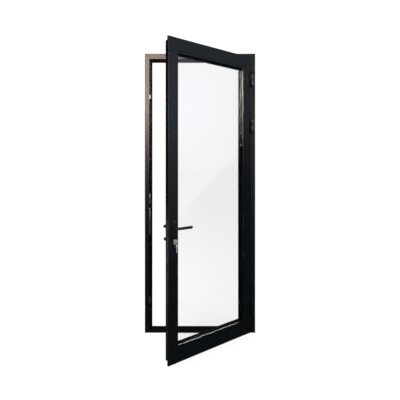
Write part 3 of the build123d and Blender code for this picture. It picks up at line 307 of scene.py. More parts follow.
class Workshop:
    """Makes materials once and finishes pieces for the frame.
    """

    def __init__(self, frame: dict) -> None:
        """Read the hinge line and make the materials."""
        self.frame = frame
        self.materials = {surface: surface.value.make() for surface in Surface}
        self.slots = {part["node"]: part["material_slot"] for part in frame["record"]["subparts"]}
        swing = next(joint for joint in frame["joints"] if joint["name"] == "leaf_swing")
        self.hinge = Vector(swing["pos_m"])
        turn = Matrix.Rotation(OPEN_ANGLE, 4, "Z")
        self.opened = Matrix.Translation(self.hinge) @ turn @ Matrix.Translation(-self.hinge)

    def dress_nodes(self) -> None:
        """Give every CAD node its finish."""
        for name, node in self.frame["nodes"].items():
            material = self.materials[SLOT_SURFACES[self.slots[name]]]
            node.data.materials.clear()
            node.data.materials.append(material)
        LOG.info("dressed %d nodes", len(self.frame["nodes"]))

    def finish_piece(
        self, piece: Piece, name: str, body: str, surface: Surface, replaced: list[str]
    ) -> None:
        """Name a piece, dress it, swing it open with the leaf and let it ride on its body.

        Args:
            piece: The piece, drawn with the leaf shut.
            name: Its name.
            body: The CAD body that carries it.
            surface: Its finish.
            replaced: The CAD nodes that it stands for.
        """
        piece.name = name
        piece.data.name = name
        piece.data.materials.clear()
        piece.data.materials.append(self.materials[surface])
        if body != "frame":
            piece.data.transform(self.opened)
        clear_selection()
        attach(piece, body)
        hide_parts(*replaced)
        LOG.info("%s: %d faces on %s", name, len(piece.data.polygons), body)


def clear_selection() -> None:
    """Deselect every object."""
    bpy.ops.object.select_all(action="DESELECT")


def choose(piece: Piece) -> None:
    """Select one object alone and make it the active one.

    Args:
        piece: The object.
    """
    clear_selection()
    bpy.context.view_layer.objects.active = piece
    piece.select_set(True)


def settle(piece: Piece, smooth: float = 35.0) -> Piece:
    """Put a piece's place into its mesh, weld it and shade it.

    Args:
        piece: The piece.
        smooth: The widest angle in degrees that is shaded smooth.

    Returns:
        The same piece.
    """
    choose(piece)
    bpy.ops.object.transform_apply(location=True, rotation=True, scale=True)
    bpy.ops.object.mode_set(mode="EDIT")
    bpy.ops.mesh.select_all(action="SELECT")
    bpy.ops.mesh.remove_doubles(threshold=WELD)
    bpy.ops.mesh.normals_make_consistent(inside=False)
    bpy.ops.object.mode_set(mode="OBJECT")
    bpy.ops.object.shade_smooth_by_angle(angle=math.radians(smooth))
    return piece


def soften(piece: Piece, width: float, segments: int = 3, angle: float = 40.0) -> Piece:
    """Round a piece's sharp edges with an applied bevel.

    Args:
        piece: The piece.
        width: The bevel's width in metres.
        segments: How many steps it has.
        angle: Edges sharper than this many degrees are rounded.

    Returns:
        The same piece.
    """
    choose(piece)
    bevel = piece.modifiers.new("soften", "BEVEL")
    bevel.width = width
    bevel.segments = segments
    bevel.limit_method = "ANGLE"
    bevel.angle_limit = math.radians(angle)
    bevel.use_clamp_overlap = True
    bpy.ops.object.modifier_apply(modifier=bevel.name)
    return settle(piece)


def cut(piece: Piece, tool: Piece, union: bool = False) -> Piece:
    """Cut a tool out of a piece, or weld it on, and throw the tool away.

    Args:
        piece: The piece.
        tool: What is cut out or welded on.
        union: Weld instead of cut.

    Returns:
        The same piece.
    """
    choose(piece)
    boolean = piece.modifiers.new("cut", "BOOLEAN")
    boolean.operation = "UNION" if union else "DIFFERENCE"
    boolean.object = tool
    boolean.solver = "EXACT"
    bpy.ops.object.modifier_apply(modifier=boolean.name)
    bpy.data.objects.remove(tool)
    return piece


def join(pieces: list[Piece]) -> Piece:
    """Join pieces that share a node.

    Args:
        pieces: The pieces.

    Returns:
        One object.
    """
    clear_selection()
    for piece in pieces:
        piece.select_set(True)
    bpy.context.view_layer.objects.active = pieces[0]
    bpy.ops.object.join()
    return pieces[0]


def bar(low: Vector, high: Vector) -> Piece:
    """Add a block between two corners.

    Args:
        low: Its lowest corner.
        high: Its highest corner.

    Returns:
        The block, ready to shape.
    """
    clear_selection()
    middle = (Vector(low) + Vector(high)) / 2
    bpy.ops.mesh.primitive_cube_add(size=1, location=middle)
    block = bpy.context.object
    block.scale = Vector(high) - Vector(low)
    bpy.ops.object.transform_apply(location=True, rotation=True, scale=True)
    return block


def block(centre: Vector, half: Vector) -> Piece:
    """Add a block about a centre.

    Args:
        centre: Its centre.
        half: Half its size.

    Returns:
        The block, ready to shape.
    """
    return bar(centre - half, centre + half)


def turned(
    start: Vector, along: Vector, stations: list[tuple[float, float]], sides: int = 48
) -> Piece:
    """Turn a round form by extruding a disc station by station.

    Args:
        start: The first disc's centre.
        along: The axis's direction.
        stations: Distance along the axis and radius of each disc.
        sides: How many sides the round has.

    Returns:
        A closed round form.
    """
    clear_selection()
    turn = Vector(along).to_track_quat("Z", "Y")
    first, radius = stations[0]
    bpy.ops.mesh.primitive_circle_add(
        vertices=sides, radius=radius, fill_type="NGON",
        location=Vector(start) + Vector(along) * first, rotation=turn.to_euler(),
    )
    form = bpy.context.object
    bpy.ops.object.mode_set(mode="EDIT")
    bpy.ops.mesh.select_all(action="SELECT")
    for (place, size), (next_place, next_size) in zip(stations, stations[1:]):
        step = Vector(along) * (next_place - place)
        bpy.ops.mesh.extrude_region_move(TRANSFORM_OT_translate={"value": step})
        ratio = next_size / size
        centre = Vector(start) + Vector(along) * next_place
        bpy.ops.transform.resize(value=(ratio, ratio, ratio), center_override=centre)
    bpy.ops.object.mode_set(mode="OBJECT")
    return settle(form)


def domed(length: float, radius: float, crown: float, steps: int = 6) -> list[tuple[float, float]]:
    """Stations of a round end that rolls over to a small flat.

    Args:
        length: Where the straight part ends.
        radius: The radius of the straight part.
        crown: The roll's radius.
        steps: How many stations the roll has.

    Returns:
        Distance and radius of each station.
    """
    turns = [math.pi / 2 * step / steps for step in range(1, steps + 1)]
    return [(length + crown * math.sin(t), radius - crown + crown * math.cos(t)) for t in turns]


@dataclass
class Screw:
    """A countersunk screw with a cross recess, its head's face at the point."""

    length: float = 14.0 * MM
    head_radius: float = 4.3 * MM
    head_depth: float = 2.1 * MM
    head_rim: float = 0.25 * MM
    head_drop: float = 0.05 * MM
    shank_radius: float = 2.3 * MM
    tip_share: float = 0.3
    recess_width: float = 1.3 * MM
    recess_reach: float = 2.5 * MM
    recess_depth: float = 1.6 * MM
    sides: int = 24

    def build(self, point: Vector, inwards: Vector) -> Piece:
        """Build a screw.

        Args:
            point: The centre of the head's face.
            inwards: The way it is driven.

        Returns:
            The screw.
        """
        stations = [
            (self.head_drop, self.head_radius - self.head_rim),
            (self.head_rim, self.head_radius),
            (self.head_depth, self.shank_radius),
            (self.length - self.shank_radius, self.shank_radius),
            (self.length, self.shank_radius * self.tip_share),
        ]
        screw = turned(point, inwards, stations, self.sides)
        turn = Vector(inwards).to_track_quat("Z", "Y").to_matrix().to_4x4()
        sides = (self.recess_reach, self.recess_width / 2)
        for half_x, half_y in (sides, sides[::-1]):
            slot = bar(Vector((-half_x, -half_y, -MM)), Vector((half_x, half_y, self.recess_depth)))
            slot.data.transform(Matrix.Translation(point) @ turn)
            cut(screw, slot)
        return settle(screw, 25)


@dataclass
class Hinge:
    """One half of a surface hinge: the upper one is the leaf's and stands over the frame's."""

    height: float
    line: Vector
    upper: bool
    leaf_face: float = -44.0 * MM
    frame_face: float = -30.0 * MM
    length: float = 110.0 * MM
    radius: float = 10.0 * MM
    rim: float = 0.5 * MM
    rim_share: float = 0.3
    washer: float = 1.0 * MM
    washer_inset: float = 0.2 * MM
    plate: float = 3.5 * MM
    leaf_plate_width: float = 36.0 * MM
    frame_plate_width: float = 24.0 * MM
    arm: float = 7.0 * MM
    arm_gap: float = 2.0 * MM
    dome: float = 6.0 * MM
    dome_skirt: float = 1.0 * MM
    dome_inset: float = 0.4 * MM
    screw_pitch: float = 38.0 * MM
    edge: float = 1.2 * MM

    @property
    def knuckle_length(self) -> float:
        """How long each knuckle is."""
        return (self.length - self.washer) / 2

    def axis_point(self, z: float) -> Vector:
        """Find a point on the hinge line.

        Args:
            z: Its height.

        Returns:
            The point.
        """
        return Vector((self.line.x, self.line.y, z))

    @property
    def base(self) -> float:
        """Where the knuckle starts."""
        return self.height + self.length / 2 - self.knuckle_length if self.upper else self.height - self.length / 2

    def knuckle(self) -> Piece:
        """Turn the knuckle with softened rims.

        Returns:
            The knuckle.
        """
        part = self.rim * self.rim_share
        stations = [(0, self.radius - self.rim), (part, self.radius - part), (self.rim, self.radius)]
        stations += [(self.knuckle_length - place, size) for place, size in reversed(stations)]
        return turned(self.axis_point(self.base), Vector((0, 0, 1)), stations)

    def half(self) -> Piece:
        """Build the plate, its arm and its knuckle.

        Returns:
            One welded half.
        """
        if self.upper:
            face = self.leaf_face
            arm_x = (self.line.x - self.radius, self.line.x - self.radius + self.arm)
            plate_x = (arm_x[1] - self.leaf_plate_width, arm_x[1])
        else:
            face = self.frame_face
            arm_x = (self.line.x + self.arm_gap, self.line.x + self.arm_gap + self.arm)
            plate_x = (arm_x[0], arm_x[0] + self.frame_plate_width)
        low, high = self.base, self.base + self.knuckle_length
        ends = (self.height - self.length / 2, self.height + self.length / 2)
        plate = bar(Vector((plate_x[0], face - self.plate, ends[0])), Vector((plate_x[1], face, ends[1])))
        plate = soften(plate, self.edge)
        arm = bar(Vector((arm_x[0], self.line.y, low)), Vector((arm_x[1], face - self.plate / 2, high)))
        arm = soften(arm, self.edge / 2)
        body = cut(plate, arm, union=True)
        return settle(cut(body, self.knuckle(), union=True))

    def screw_points(self) -> list[Vector]:
        """List where the screws start.

        Returns:
            The centres of the heads.
        """
        if self.upper:
            x = self.line.x - self.radius - self.leaf_plate_width / 2
            y = self.leaf_face - self.plate
        else:
            x = self.line.x + self.arm_gap + self.arm + (self.frame_plate_width - self.arm) / 2
            y = self.frame_face - self.plate
        return [Vector((x, y, self.height + step * self.screw_pitch)) for step in (-1, 0, 1)]

    def end_dome(self) -> Piece:
        """Turn the dome over the half's end of the barrel.

        Returns:
            The dome.
        """
        sign = 1 if self.upper else -1
        stations = [(0, self.radius - self.dome_inset), (self.dome_skirt / 2, self.radius)]
        stations += domed(self.dome_skirt, self.radius, self.dome - self.dome_skirt)
        return turned(self.axis_point(self.height + sign * self.length / 2), Vector((0, 0, sign)), stations)

    def bush(self) -> Piece:
        """Turn the washer that shows between the knuckles.

        Returns:
            The washer.
        """
        radius = self.radius - self.washer_inset
        stations = [(0, radius), (self.washer, radius)]
        return turned(self.axis_point(self.base - self.washer), Vector((0, 0, 1)), stations)


@dataclass
class HingeSet:
    """The three hinges with their caps, pins, bushes and screws."""

    shop: Workshop
    heights: dict[str, float] = field(
        default_factory=lambda: {"upper": 2173 * MM, "middle": 1778 * MM, "lower": 212 * MM}
    )

    def build(self) -> tuple[list[Piece], list[Piece]]:
        """Build the hinges.

        Returns:
            The frame's hinge screws and the leaf's.
        """
        caps, pins, bushes, frame_screws, leaf_screws = [], [], [], [], []
        back = Vector((0, 1, 0))
        finish = self.shop.finish_piece
        for name, height in self.heights.items():
            leaf, frame = (Hinge(height, self.shop.hinge, upper) for upper in (True, False))
            for half, body in ((leaf, "leaf"), (frame, "frame")):
                node = f"{name}_hinge_{body}"
                finish(half.half(), f"{node}_wing", body, Surface.HARDWARE, [f"{node}_half"])
            caps.append(leaf.end_dome())
            pins.append(frame.end_dome())
            bushes.append(leaf.bush())
            leaf_screws += [Screw().build(point, back) for point in leaf.screw_points()]
            frame_screws += [Screw().build(point, back) for point in frame.screw_points()]
        finish(join(caps), "hinge_top_domes", "leaf", Surface.HARDWARE, ["hinge_caps"])
        finish(join(pins), "hinge_pin_domes", "frame", Surface.HARDWARE, ["hinge_pins"])
        finish(join(bushes), "hinge_washers", "leaf", Surface.NYLON, ["hinge_bushes"])
        return frame_screws, leaf_screws


@dataclass
class Strikes:
    """The cast strikes on the lock jamb, with a pocket for each bolt."""

    shop: Workshop
    face: float = -435.0 * MM
    thickness: float = 7.0 * MM
    corner: float = 4.0 * MM
    corner_steps: int = 6
    edge: float = 0.9 * MM
    pocket_depth: float = 15.0 * MM
    pocket_round: float = 1.5 * MM
    screw_inset: float = 6.4 * MM
    pockets: dict[str, list[tuple[float, float]]] = field(
        default_factory=lambda: {
            "strike_main": [(1040 * MM, 34 * MM), (955 * MM, 38 * MM)],
            "strike_top": [(2027 * MM, 28 * MM)],
            "strike_upper": [(1150 * MM, 28 * MM)],
            "strike_bottom": [(278 * MM, 28 * MM)],
        }
    )

    def build(self) -> list[Piece]:
        """Build the strikes.

        Returns:
            Their screws.
        """
        screws = []
        inwards = Vector((-1, 0, 0))
        for name, pockets in self.pockets.items():
            low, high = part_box(name)
            middle = (low.y + high.y) / 2
            plate = bar(low, high)
            round_edges(plate, 0, self.corner, self.corner_steps)
            plate = soften(plate, self.edge)
            for height, size in pockets:
                half = Vector((self.thickness, self.pocket_depth / 2, size / 2))
                centre = Vector((self.face + self.thickness / 2, middle, height))
                cut(plate, soften(block(centre, half), self.pocket_round))
            for z in (low.z + self.screw_inset, high.z - self.screw_inset):
                point = Vector((self.face + self.thickness, middle, z))
                cut(plate, turned(point, inwards, COUNTERSINK, 24))
                screws.append(Screw().build(point, inwards))
            self.shop.finish_piece(settle(plate), f"{name}_casting", "frame", Surface.STEEL, [name])
        return screws


def round_edges(piece: Piece, axis: int, radius: float, segments: int) -> None:
    """Round the edges of a block that run along one axis.

    Args:
        piece: The block.
        axis: 0, 1 or 2 for X, Y or Z.
        radius: The rounding's radius in metres.
        segments: How many steps it has.
    """
    points = piece.data.vertices
    ends = [[points[number].co[axis] for number in edge.vertices] for edge in piece.data.edges]
    chosen = [number for number, (first, last) in enumerate(ends) if abs(first - last) > NO_RUN]
    choose(piece)
    bpy.ops.object.mode_set(mode="EDIT")
    bpy.ops.mesh.select_mode(type="EDGE")
    bpy.ops.mesh.select_all(action="DESELECT")
    bpy.ops.object.mode_set(mode="OBJECT")
    for number in chosen:
        piece.data.edges[number].select = True
    bpy.ops.object.mode_set(mode="EDIT")
    bpy.ops.mesh.bevel(offset=radius, segments=segments, affect="EDGES")
    bpy.ops.object.mode_set(mode="OBJECT")


@dataclass
class LockSet:
    """The levers with their plates and bushes, and the cylinder collars, on both faces of the leaf."""

    shop: Workshop
    spindle_x: float = -389.0 * MM
    spindle_z: float = 988.0 * MM
    cylinder_z: float = 896.0 * MM
    faces: tuple[float, float] = (-44.0 * MM, 13.0 * MM)
    plate_thickness: float = 9.0 * MM
    plate_width: float = 32.0 * MM
    plate_rise: float = 62.0 * MM
    plate_drop: float = 66.0 * MM
    plate_screw_rise: float = 45.0 * MM
    lever_radius: float = 10.5 * MM
    lever_reaches: tuple[float, float] = (52.0 * MM, 67.0 * MM)
    lever_length: float = 128.0 * MM
    lever_bend: float = 18.0 * MM
    root_gap: float = 0.4 * MM
    collar_thickness: float = 3.0 * MM
    collar_width: float = 26.0 * MM
    collar_rise: float = 12.5 * MM
    collar_drop: float = 27.0 * MM
    barrel_radius: float = 8.5 * MM
    stem_radius: float = 5.0 * MM
    barrel_height: float = 33.0 * MM
    barrel_clearance: float = 0.2 * MM
    end_round: float = 0.985
    end_steps: int = 14
    plate_edge: float = 1.6 * MM
    collar_edge: float = 0.9 * MM
    bush_wall: float = 2.0 * MM
    bush_gap: float = 0.1 * MM
    neck_clearance: float = 0.06 * MM

    def outline(self, width: float, low: float, high: float, y: tuple[float, float]) -> Piece:
        """Build a plate with round ends, upright on the spindle's line.

        Args:
            width: Its width.
            low: Its lowest point.
            high: Its highest point.
            y: Where its back and front lie, in either order.

        Returns:
            The plate.
        """
        half = width / 2
        plate = bar(Vector((self.spindle_x - half, min(y), low)), Vector((self.spindle_x + half, max(y), high)))
        round_edges(plate, 1, half * self.end_round, self.end_steps)
        return plate

    def barrel(self, start: float, length: float) -> Piece:
        """Build the pear-shaped cylinder section with its clearance.

        Args:
            start: Where it begins in Y.
            length: How long it is.

        Returns:
            One closed form.
        """
        back = Vector((0, 1, 0))
        low = self.cylinder_z + self.barrel_radius - self.barrel_height + self.stem_radius
        radius, stem = self.barrel_radius + self.barrel_clearance, self.stem_radius + self.barrel_clearance
        top, foot = Vector((self.spindle_x, start, self.cylinder_z)), Vector((self.spindle_x, start, low))
        web = bar(foot - Vector((stem, 0, 0)), top + Vector((stem, length, 0)))
        body = cut(turned(top, back, [(0, radius), (length, radius)]), web, union=True)
        return cut(body, turned(foot, back, [(0, stem), (length, stem)]), union=True)

    def screw_points(self, side: int) -> list[Vector]:
        """List where a plate's screws start.

        Args:
            side: -1 on the front and 1 on the back.

        Returns:
            The centres of the heads.
        """
        y = self.faces[side > 0] + side * self.plate_thickness
        heights = (self.spindle_z + self.plate_screw_rise, self.cylinder_z - self.plate_screw_rise)
        return [Vector((self.spindle_x, y, z)) for z in heights]

    def backplate(self, side: int) -> Piece:
        """Build a backplate with its bush hole, cylinder hole and countersinks.

        Args:
            side: -1 on the front and 1 on the back.

        Returns:
            The plate.
        """
        face = self.faces[side > 0]
        outer = face + side * self.plate_thickness
        low, high = self.cylinder_z - self.plate_drop, self.spindle_z + self.plate_rise
        plate = soften(self.outline(self.plate_width, low, high, (face, outer)), self.plate_edge, 4, 60)
        along = Vector((0, side, 0))
        hole = self.lever_radius + self.bush_wall + self.bush_gap
        start = Vector((self.spindle_x, face - side * MM, self.spindle_z))
        cut(plate, turned(start, along, [(0, hole), (self.plate_thickness + 2 * MM, hole)]))
        cut(plate, self.barrel(min(face, outer) - MM, self.plate_thickness + 2 * MM))
        for point in self.screw_points(side):
            stations = [*COUNTERSINK, (self.plate_thickness + MM, COUNTERSINK[-1][1])]
            cut(plate, turned(point, -along, stations, 24))
        return settle(plate)

    def lever(self, side: int) -> Piece:
        """Bend a round bar from the spindle's axis to point at the hinges.

        Args:
            side: -1 on the front and 1 on the back.

        Returns:
            The lever, with its tip's edge rolled over.
        """
        face = self.faces[side > 0] + side * self.root_gap
        reach = self.lever_reaches[side > 0] - self.root_gap
        root = Vector((self.spindle_x, face, self.spindle_z))
        along = Vector((0, side, 0))
        clear_selection()
        bpy.ops.mesh.primitive_circle_add(
            vertices=40, radius=self.lever_radius, fill_type="NGON", location=root,
            rotation=along.to_track_quat("Z", "Y").to_euler(),
        )
        form = bpy.context.object
        bpy.ops.object.mode_set(mode="EDIT")
        bpy.ops.mesh.select_all(action="SELECT")
        neck = along * (reach - self.lever_bend)
        bpy.ops.mesh.extrude_region_move(TRANSFORM_OT_translate={"value": neck})
        centre = root + neck + Vector((self.lever_bend, 0, 0))
        steps = 14
        for step in range(steps):
            bpy.ops.mesh.extrude_region_move(TRANSFORM_OT_translate={"value": (0, 0, 0)})
            bpy.ops.transform.rotate(
                value=side * math.pi / 2 / steps, orient_axis="Z", orient_type="GLOBAL", center_override=centre
            )
        roll = 3 * MM
        grip = self.lever_length - self.lever_bend - roll
        bpy.ops.mesh.extrude_region_move(TRANSFORM_OT_translate={"value": (grip, 0, 0)})
        tip = root + along * reach + Vector((self.lever_length - roll, 0, 0))
        last = (0.0, self.lever_radius)
        for place, size in domed(0, self.lever_radius, roll, 5):
            bpy.ops.mesh.extrude_region_move(TRANSFORM_OT_translate={"value": (place - last[0], 0, 0)})
            ratio = size / last[1]
            bpy.ops.transform.resize(value=(ratio, ratio, ratio), center_override=tip + Vector((place, 0, 0)))
            last = (place, size)
        bpy.ops.object.mode_set(mode="OBJECT")
        return settle(form, 40)

    def neck_ring(self, side: int) -> Piece:
        """Turn the bush that the lever's neck runs in, with its thin proud rim.

        Args:
            side: -1 on the front and 1 on the back.

        Returns:
            The bush.
        """
        along = Vector((0, side, 0))
        start = Vector((self.spindle_x, self.faces[side > 0], self.spindle_z))
        outer, rim, deep = self.lever_radius + self.bush_wall, 0.3 * MM, self.plate_thickness
        bush = turned(start, along, [(0, outer), (deep - rim, outer), (deep, outer - rim)])
        hole = self.lever_radius + self.neck_clearance
        return settle(cut(bush, turned(start, along, [(-MM, hole), (deep + MM, hole)])))

    def collar(self, side: int) -> Piece:
        """Build the bright collar round the cylinder's end.

        Args:
            side: -1 on the front and 1 on the back.

        Returns:
            The collar.
        """
        base = self.faces[side > 0] + side * self.plate_thickness
        outer = base + side * self.collar_thickness
        low, high = self.cylinder_z - self.collar_drop, self.cylinder_z + self.collar_rise
        collar = soften(self.outline(self.collar_width, low, high, (base, outer)), self.collar_edge, 4, 60)
        return settle(cut(collar, self.barrel(min(base, outer) - MM, self.collar_thickness + 2 * MM)))

    def build(self) -> list[Piece]:
        """Build and dress the handles and collars.

        Returns:
            The plates' screws.
        """
        screws = []
        for side, word in ((-1, "front"), (1, "rear")):
            plate = self.backplate(side)
            self.shop.finish_piece(plate, f"{word}_plate", "leaf", Surface.HARDWARE, [f"{word}_backplate"])
            lever = self.lever(side)
            self.shop.finish_piece(lever, f"{word}_lever_bar", "lever_set", Surface.HARDWARE, [f"{word}_lever"])
            screws += [Screw().build(point, Vector((0, -side, 0))) for point in self.screw_points(side)]
        rings = join([self.neck_ring(-1), self.neck_ring(1)])
        self.shop.finish_piece(rings, "lever_neck_rings", "leaf", Surface.NYLON, ["lever_bushes"])
        collars = join([self.collar(-1), self.collar(1)])
        self.shop.finish_piece(collars, "collars", "leaf", Surface.CHROME, ["cylinder_collars"])
        return screws


@dataclass
class Keys:
    """The key in the cylinder, the split ring, the hanging spare key and the thumb turn."""

    shop: Workshop
    x: float = -389.0 * MM
    z: float = 896.0 * MM
    leaf_face: float = -44.0 * MM
    leaf_back: float = 13.0 * MM
    projection: float = 12.0 * MM
    shoulder: float = 2.0 * MM
    bow_radius: float = 12.0 * MM
    spare_radius: float = 11.0 * MM
    thickness: float = 2.4 * MM
    hole_radius: float = 3.2 * MM
    hole_offset: float = 6.0 * MM
    blade: float = 8.0 * MM
    blade_end: float = -24.5 * MM
    spare_length: float = 38.5 * MM
    ring_radius: float = 10.5 * MM
    wire: float = 1.1 * MM
    hang: float = 0.1 * MM
    cuts: int = 5
    cut_width: float = 3.0 * MM
    rim: float = 0.4 * MM
    recess: float = 0.3 * MM
    border: float = 2.2 * MM
    weld: float = 2.5 * MM
    blade_share: float = 0.9

    @property
    def bow_y(self) -> float:
        """The key bow's centre in Y."""
        return self.leaf_face - self.projection - self.shoulder - self.bow_radius

    @property
    def ring_y(self) -> float:
        """The ring's plane in Y."""
        return self.bow_y - self.hole_offset

    @property
    def ring_top(self) -> float:
        """The ring wire's highest centre."""
        return self.z - self.hole_radius + self.wire + self.hang

    def bow(self, y: float, z: float, radius: float, hole: tuple[float, float]) -> Piece:
        """Build a key's round head with a waisted rim and its ring hole.

        Args:
            y: The head's centre in Y.
            z: The head's centre in Z.
            radius: Its radius.
            hole: Where the hole is, in Y and Z.

        Returns:
            The head.
        """
        half, rim, along = self.thickness / 2, self.rim, Vector((1, 0, 0))
        start = Vector((self.x, y, z))
        stations = [(-half, radius - rim), (-half + rim, radius), (half - rim, radius), (half, radius - rim)]
        head = turned(start, along, stations)
        for side in (-1, 1):
            inner = [(half - self.recess, radius - self.border), (half + MM, radius - self.border)]
            cut(head, turned(start, along * side, inner))
        bore = [(-2 * half, self.hole_radius), (2 * half, self.hole_radius)]
        return settle(cut(head, turned(Vector((self.x, *hole)), along, bore, 32)))

    def shank(self, y: tuple[float, float], z: tuple[float, float], edge: float) -> Piece:
        """Build a key's flat blade.

        Args:
            y: Where it lies in Y.
            z: Where it lies in Z.
            edge: How far its edges are rounded.

        Returns:
            The blade.
        """
        half = self.thickness / 2 * self.blade_share
        return soften(bar(Vector((self.x - half, y[0], z[0])), Vector((self.x + half, y[1], z[1]))), edge, 2)

    def key(self) -> Piece:
        """Build the key that stands in the cylinder.

        Returns:
            The key.
        """
        head = self.bow(self.bow_y, self.z, self.bow_radius, (self.ring_y, self.z))
        start = self.bow_y + self.bow_radius - self.weld
        blade = self.shank((start, self.blade_end), (self.z - self.blade / 2, self.z + self.blade / 2), 0.3 * MM)
        return settle(cut(head, blade, union=True))

    def spare(self) -> Piece:
        """Build the key that hangs from the ring, with its bit cut and its blade grooved.

        Returns:
            The spare key.
        """
        hole_z = self.ring_top - 2 * self.ring_radius + self.wire + self.hang - self.hole_radius
        bow_z = hole_z - self.hole_offset
        head = self.bow(self.ring_y, bow_z, self.spare_radius, (self.ring_y, hole_z))
        half = self.thickness / 2
        end = bow_z - self.spare_radius - self.spare_length
        top, edge = bow_z - self.spare_radius + self.weld, self.ring_y + self.blade / 2
        blade = self.shank((self.ring_y - self.blade / 2, edge), (end, top), 0.35 * MM)
        for index in range(1, self.cuts + 1):
            place = Vector((self.x, edge, end + index * self.spare_length / (self.cuts + 2)))
            depth = self.blade / 4 + (index % 2) * self.blade / 8
            cut(blade, soften(block(place, Vector((half, depth, self.cut_width / 2))), 0.6 * MM, 2))
        for side in (-1, 1):
            x = self.x + side * half * self.blade_share
            low = Vector((x - 0.4 * MM, self.ring_y - 1.6 * MM, end - MM))
            cut(blade, bar(low, Vector((x + 0.4 * MM, self.ring_y - 0.4 * MM, top - 3 * MM))))
        return settle(cut(head, blade, union=True))

    def split_ring(self) -> Piece:
        """Wind the flat split ring: two turns of wire side by side, joined by a step.

        Returns:
            The ring.
        """
        centre = Vector((self.x, self.ring_y, self.ring_top - self.ring_radius))
        turns = []
        for side in (-1, 1):
            clear_selection()
            bpy.ops.mesh.primitive_torus_add(
                major_radius=self.ring_radius, minor_radius=self.wire * 0.52, major_segments=56,
                minor_segments=12, location=centre + Vector((0, side * self.wire * 0.5, 0)),
                rotation=(math.pi / 2, 0, 0),
            )
            turns.append(settle(bpy.context.object))
        step = Vector((self.wire * 0.6, self.wire, self.wire * 0.45))
        place = centre + Vector((self.ring_radius, 0, 0))
        turns.append(soften(block(place, step), 0.2 * MM, 2))
        return join(turns)

    def thumb_turn(self) -> Piece:
        """Turn the knob on the inside and cut its two finger flats.

        Returns:
            The thumb turn.
        """
        start = Vector((self.x, self.leaf_back + self.projection, self.z))
        stem, knob, begin, end, roll = 6.5 * MM, 12 * MM, 18 * MM, 44 * MM, 1.5 * MM
        flat, reach = 7 * MM, 20 * MM
        stations = [(0, stem), (begin - 2 * MM, stem), (begin - 0.5 * MM, stem + 1.5 * MM), (begin, knob - roll)]
        stations += [(begin + 0.4 * roll, knob - 0.4 * roll), (begin + roll, knob)]
        stations += domed(end - roll, knob, roll, 4)
        turn = turned(start, Vector((0, 1, 0)), stations)
        for side in (-1, 1):
            near, far = sorted((self.x + side * flat, self.x + side * reach))
            low = Vector((near, start.y + begin - 0.2 * MM, self.z - reach))
            cut(turn, soften(bar(low, Vector((far, start.y + end + MM, self.z + reach))), 1.2 * MM))
        return soften(turn, 0.35 * MM, 2, 50)

    def build(self) -> None:
        """Build and dress the keys, their ring and the thumb turn."""
        self.shop.finish_piece(self.key(), "standing_key", "key_set", Surface.CHROME, ["key"])
        self.shop.finish_piece(self.spare(), "hanging_key", "key_set", Surface.CHROME, ["spare_key"])
        self.shop.finish_piece(self.split_ring(), "split_ring", "key_set", Surface.CHROME, ["key_ring"])
        self.shop.finish_piece(self.thumb_turn(), "thumb_knob", "key_set", Surface.HARDWARE, ["thumb_turn"])


@dataclass
class WedgeGasket:
    """The gasket pressed in between the beads and the glass, with the lip that shows on the glass."""

    shop: Workshop
    sight: tuple[float, float, float, float] = (-348.5 * MM, 353.5 * MM, 131.5 * MM, 2252.5 * MM)
    glass: float = -17.0 * MM
    depth: float = 5.0 * MM
    foot: float = 7.0 * MM
    lip: float = 6.0 * MM
    lip_depth: float = 3.0 * MM
    overlap: float = 0.5 * MM

    def ring(self, out: float, inside: float, y: tuple[float, float]) -> Piece:
        """Build a rectangular ring along the sight line.

        Args:
            out: How far it reaches away from the glass.
            inside: How far it reaches over the glass.
            y: Where it lies in depth.

        Returns:
            The ring.
        """
        left, right, low, high = self.sight
        ring = bar(Vector((left - out, y[0], low - out)), Vector((right + out, y[1], high + out)))
        hole = bar(
            Vector((left + inside, y[0] - MM, low + inside)), Vector((right - inside, y[1] + MM, high - inside))
        )
        return cut(ring, hole)

    def build(self) -> None:
        """Build and dress the gasket."""
        body = self.ring(self.foot, 0.0, (self.glass - self.depth, self.glass))
        lip = self.ring(self.overlap, self.lip, (self.glass - self.lip_depth, self.glass))
        body = settle(cut(body, soften(lip, 0.9 * MM, 3), union=True))
        self.shop.finish_piece(body, "wedge_gasket", "leaf", Surface.RUBBER, ["outer_glazing_gasket"])


@dataclass(frozen=True)
class Softbox:
    """A rectangular light.

    Args:
        name: What it is.
        place: Its centre.
        target: The point it faces.
        size: Its width and height.
        watts: Its power.
        colour: Its colour in hex.
    """

    name: str
    place: tuple[float, float, float]
    target: tuple[float, float, float]
    size: tuple[float, float]
    watts: float
    colour: str


# A warm window behind the camera, a bright one high to the left, a strip to the right in front
# that catches round forms, and a weak low one to the left for the keys.
SOFTBOXES = (
    Softbox("warm_front", (-1.13, -6.0, 3.5), (-1.13, -0.03, 3.5), (1.6, 2.7), 190, "ffe4d6"),
    Softbox("left_window", (-5.0, -0.1, 3.65), (0.0, -0.1, 3.65), (2.4, 2.2), 450, "fff6ec"),
    Softbox("right_front", (3.2, -3.7, 2.7), (0.44, 0.0, 2.0), (1.2, 1.5), 130, "ffffff"),
    Softbox("left_low", (-3.0, -1.7, 0.5), (-0.2, -0.8, 0.85), (1.5, 1.2), 60, "ffffff"),
)


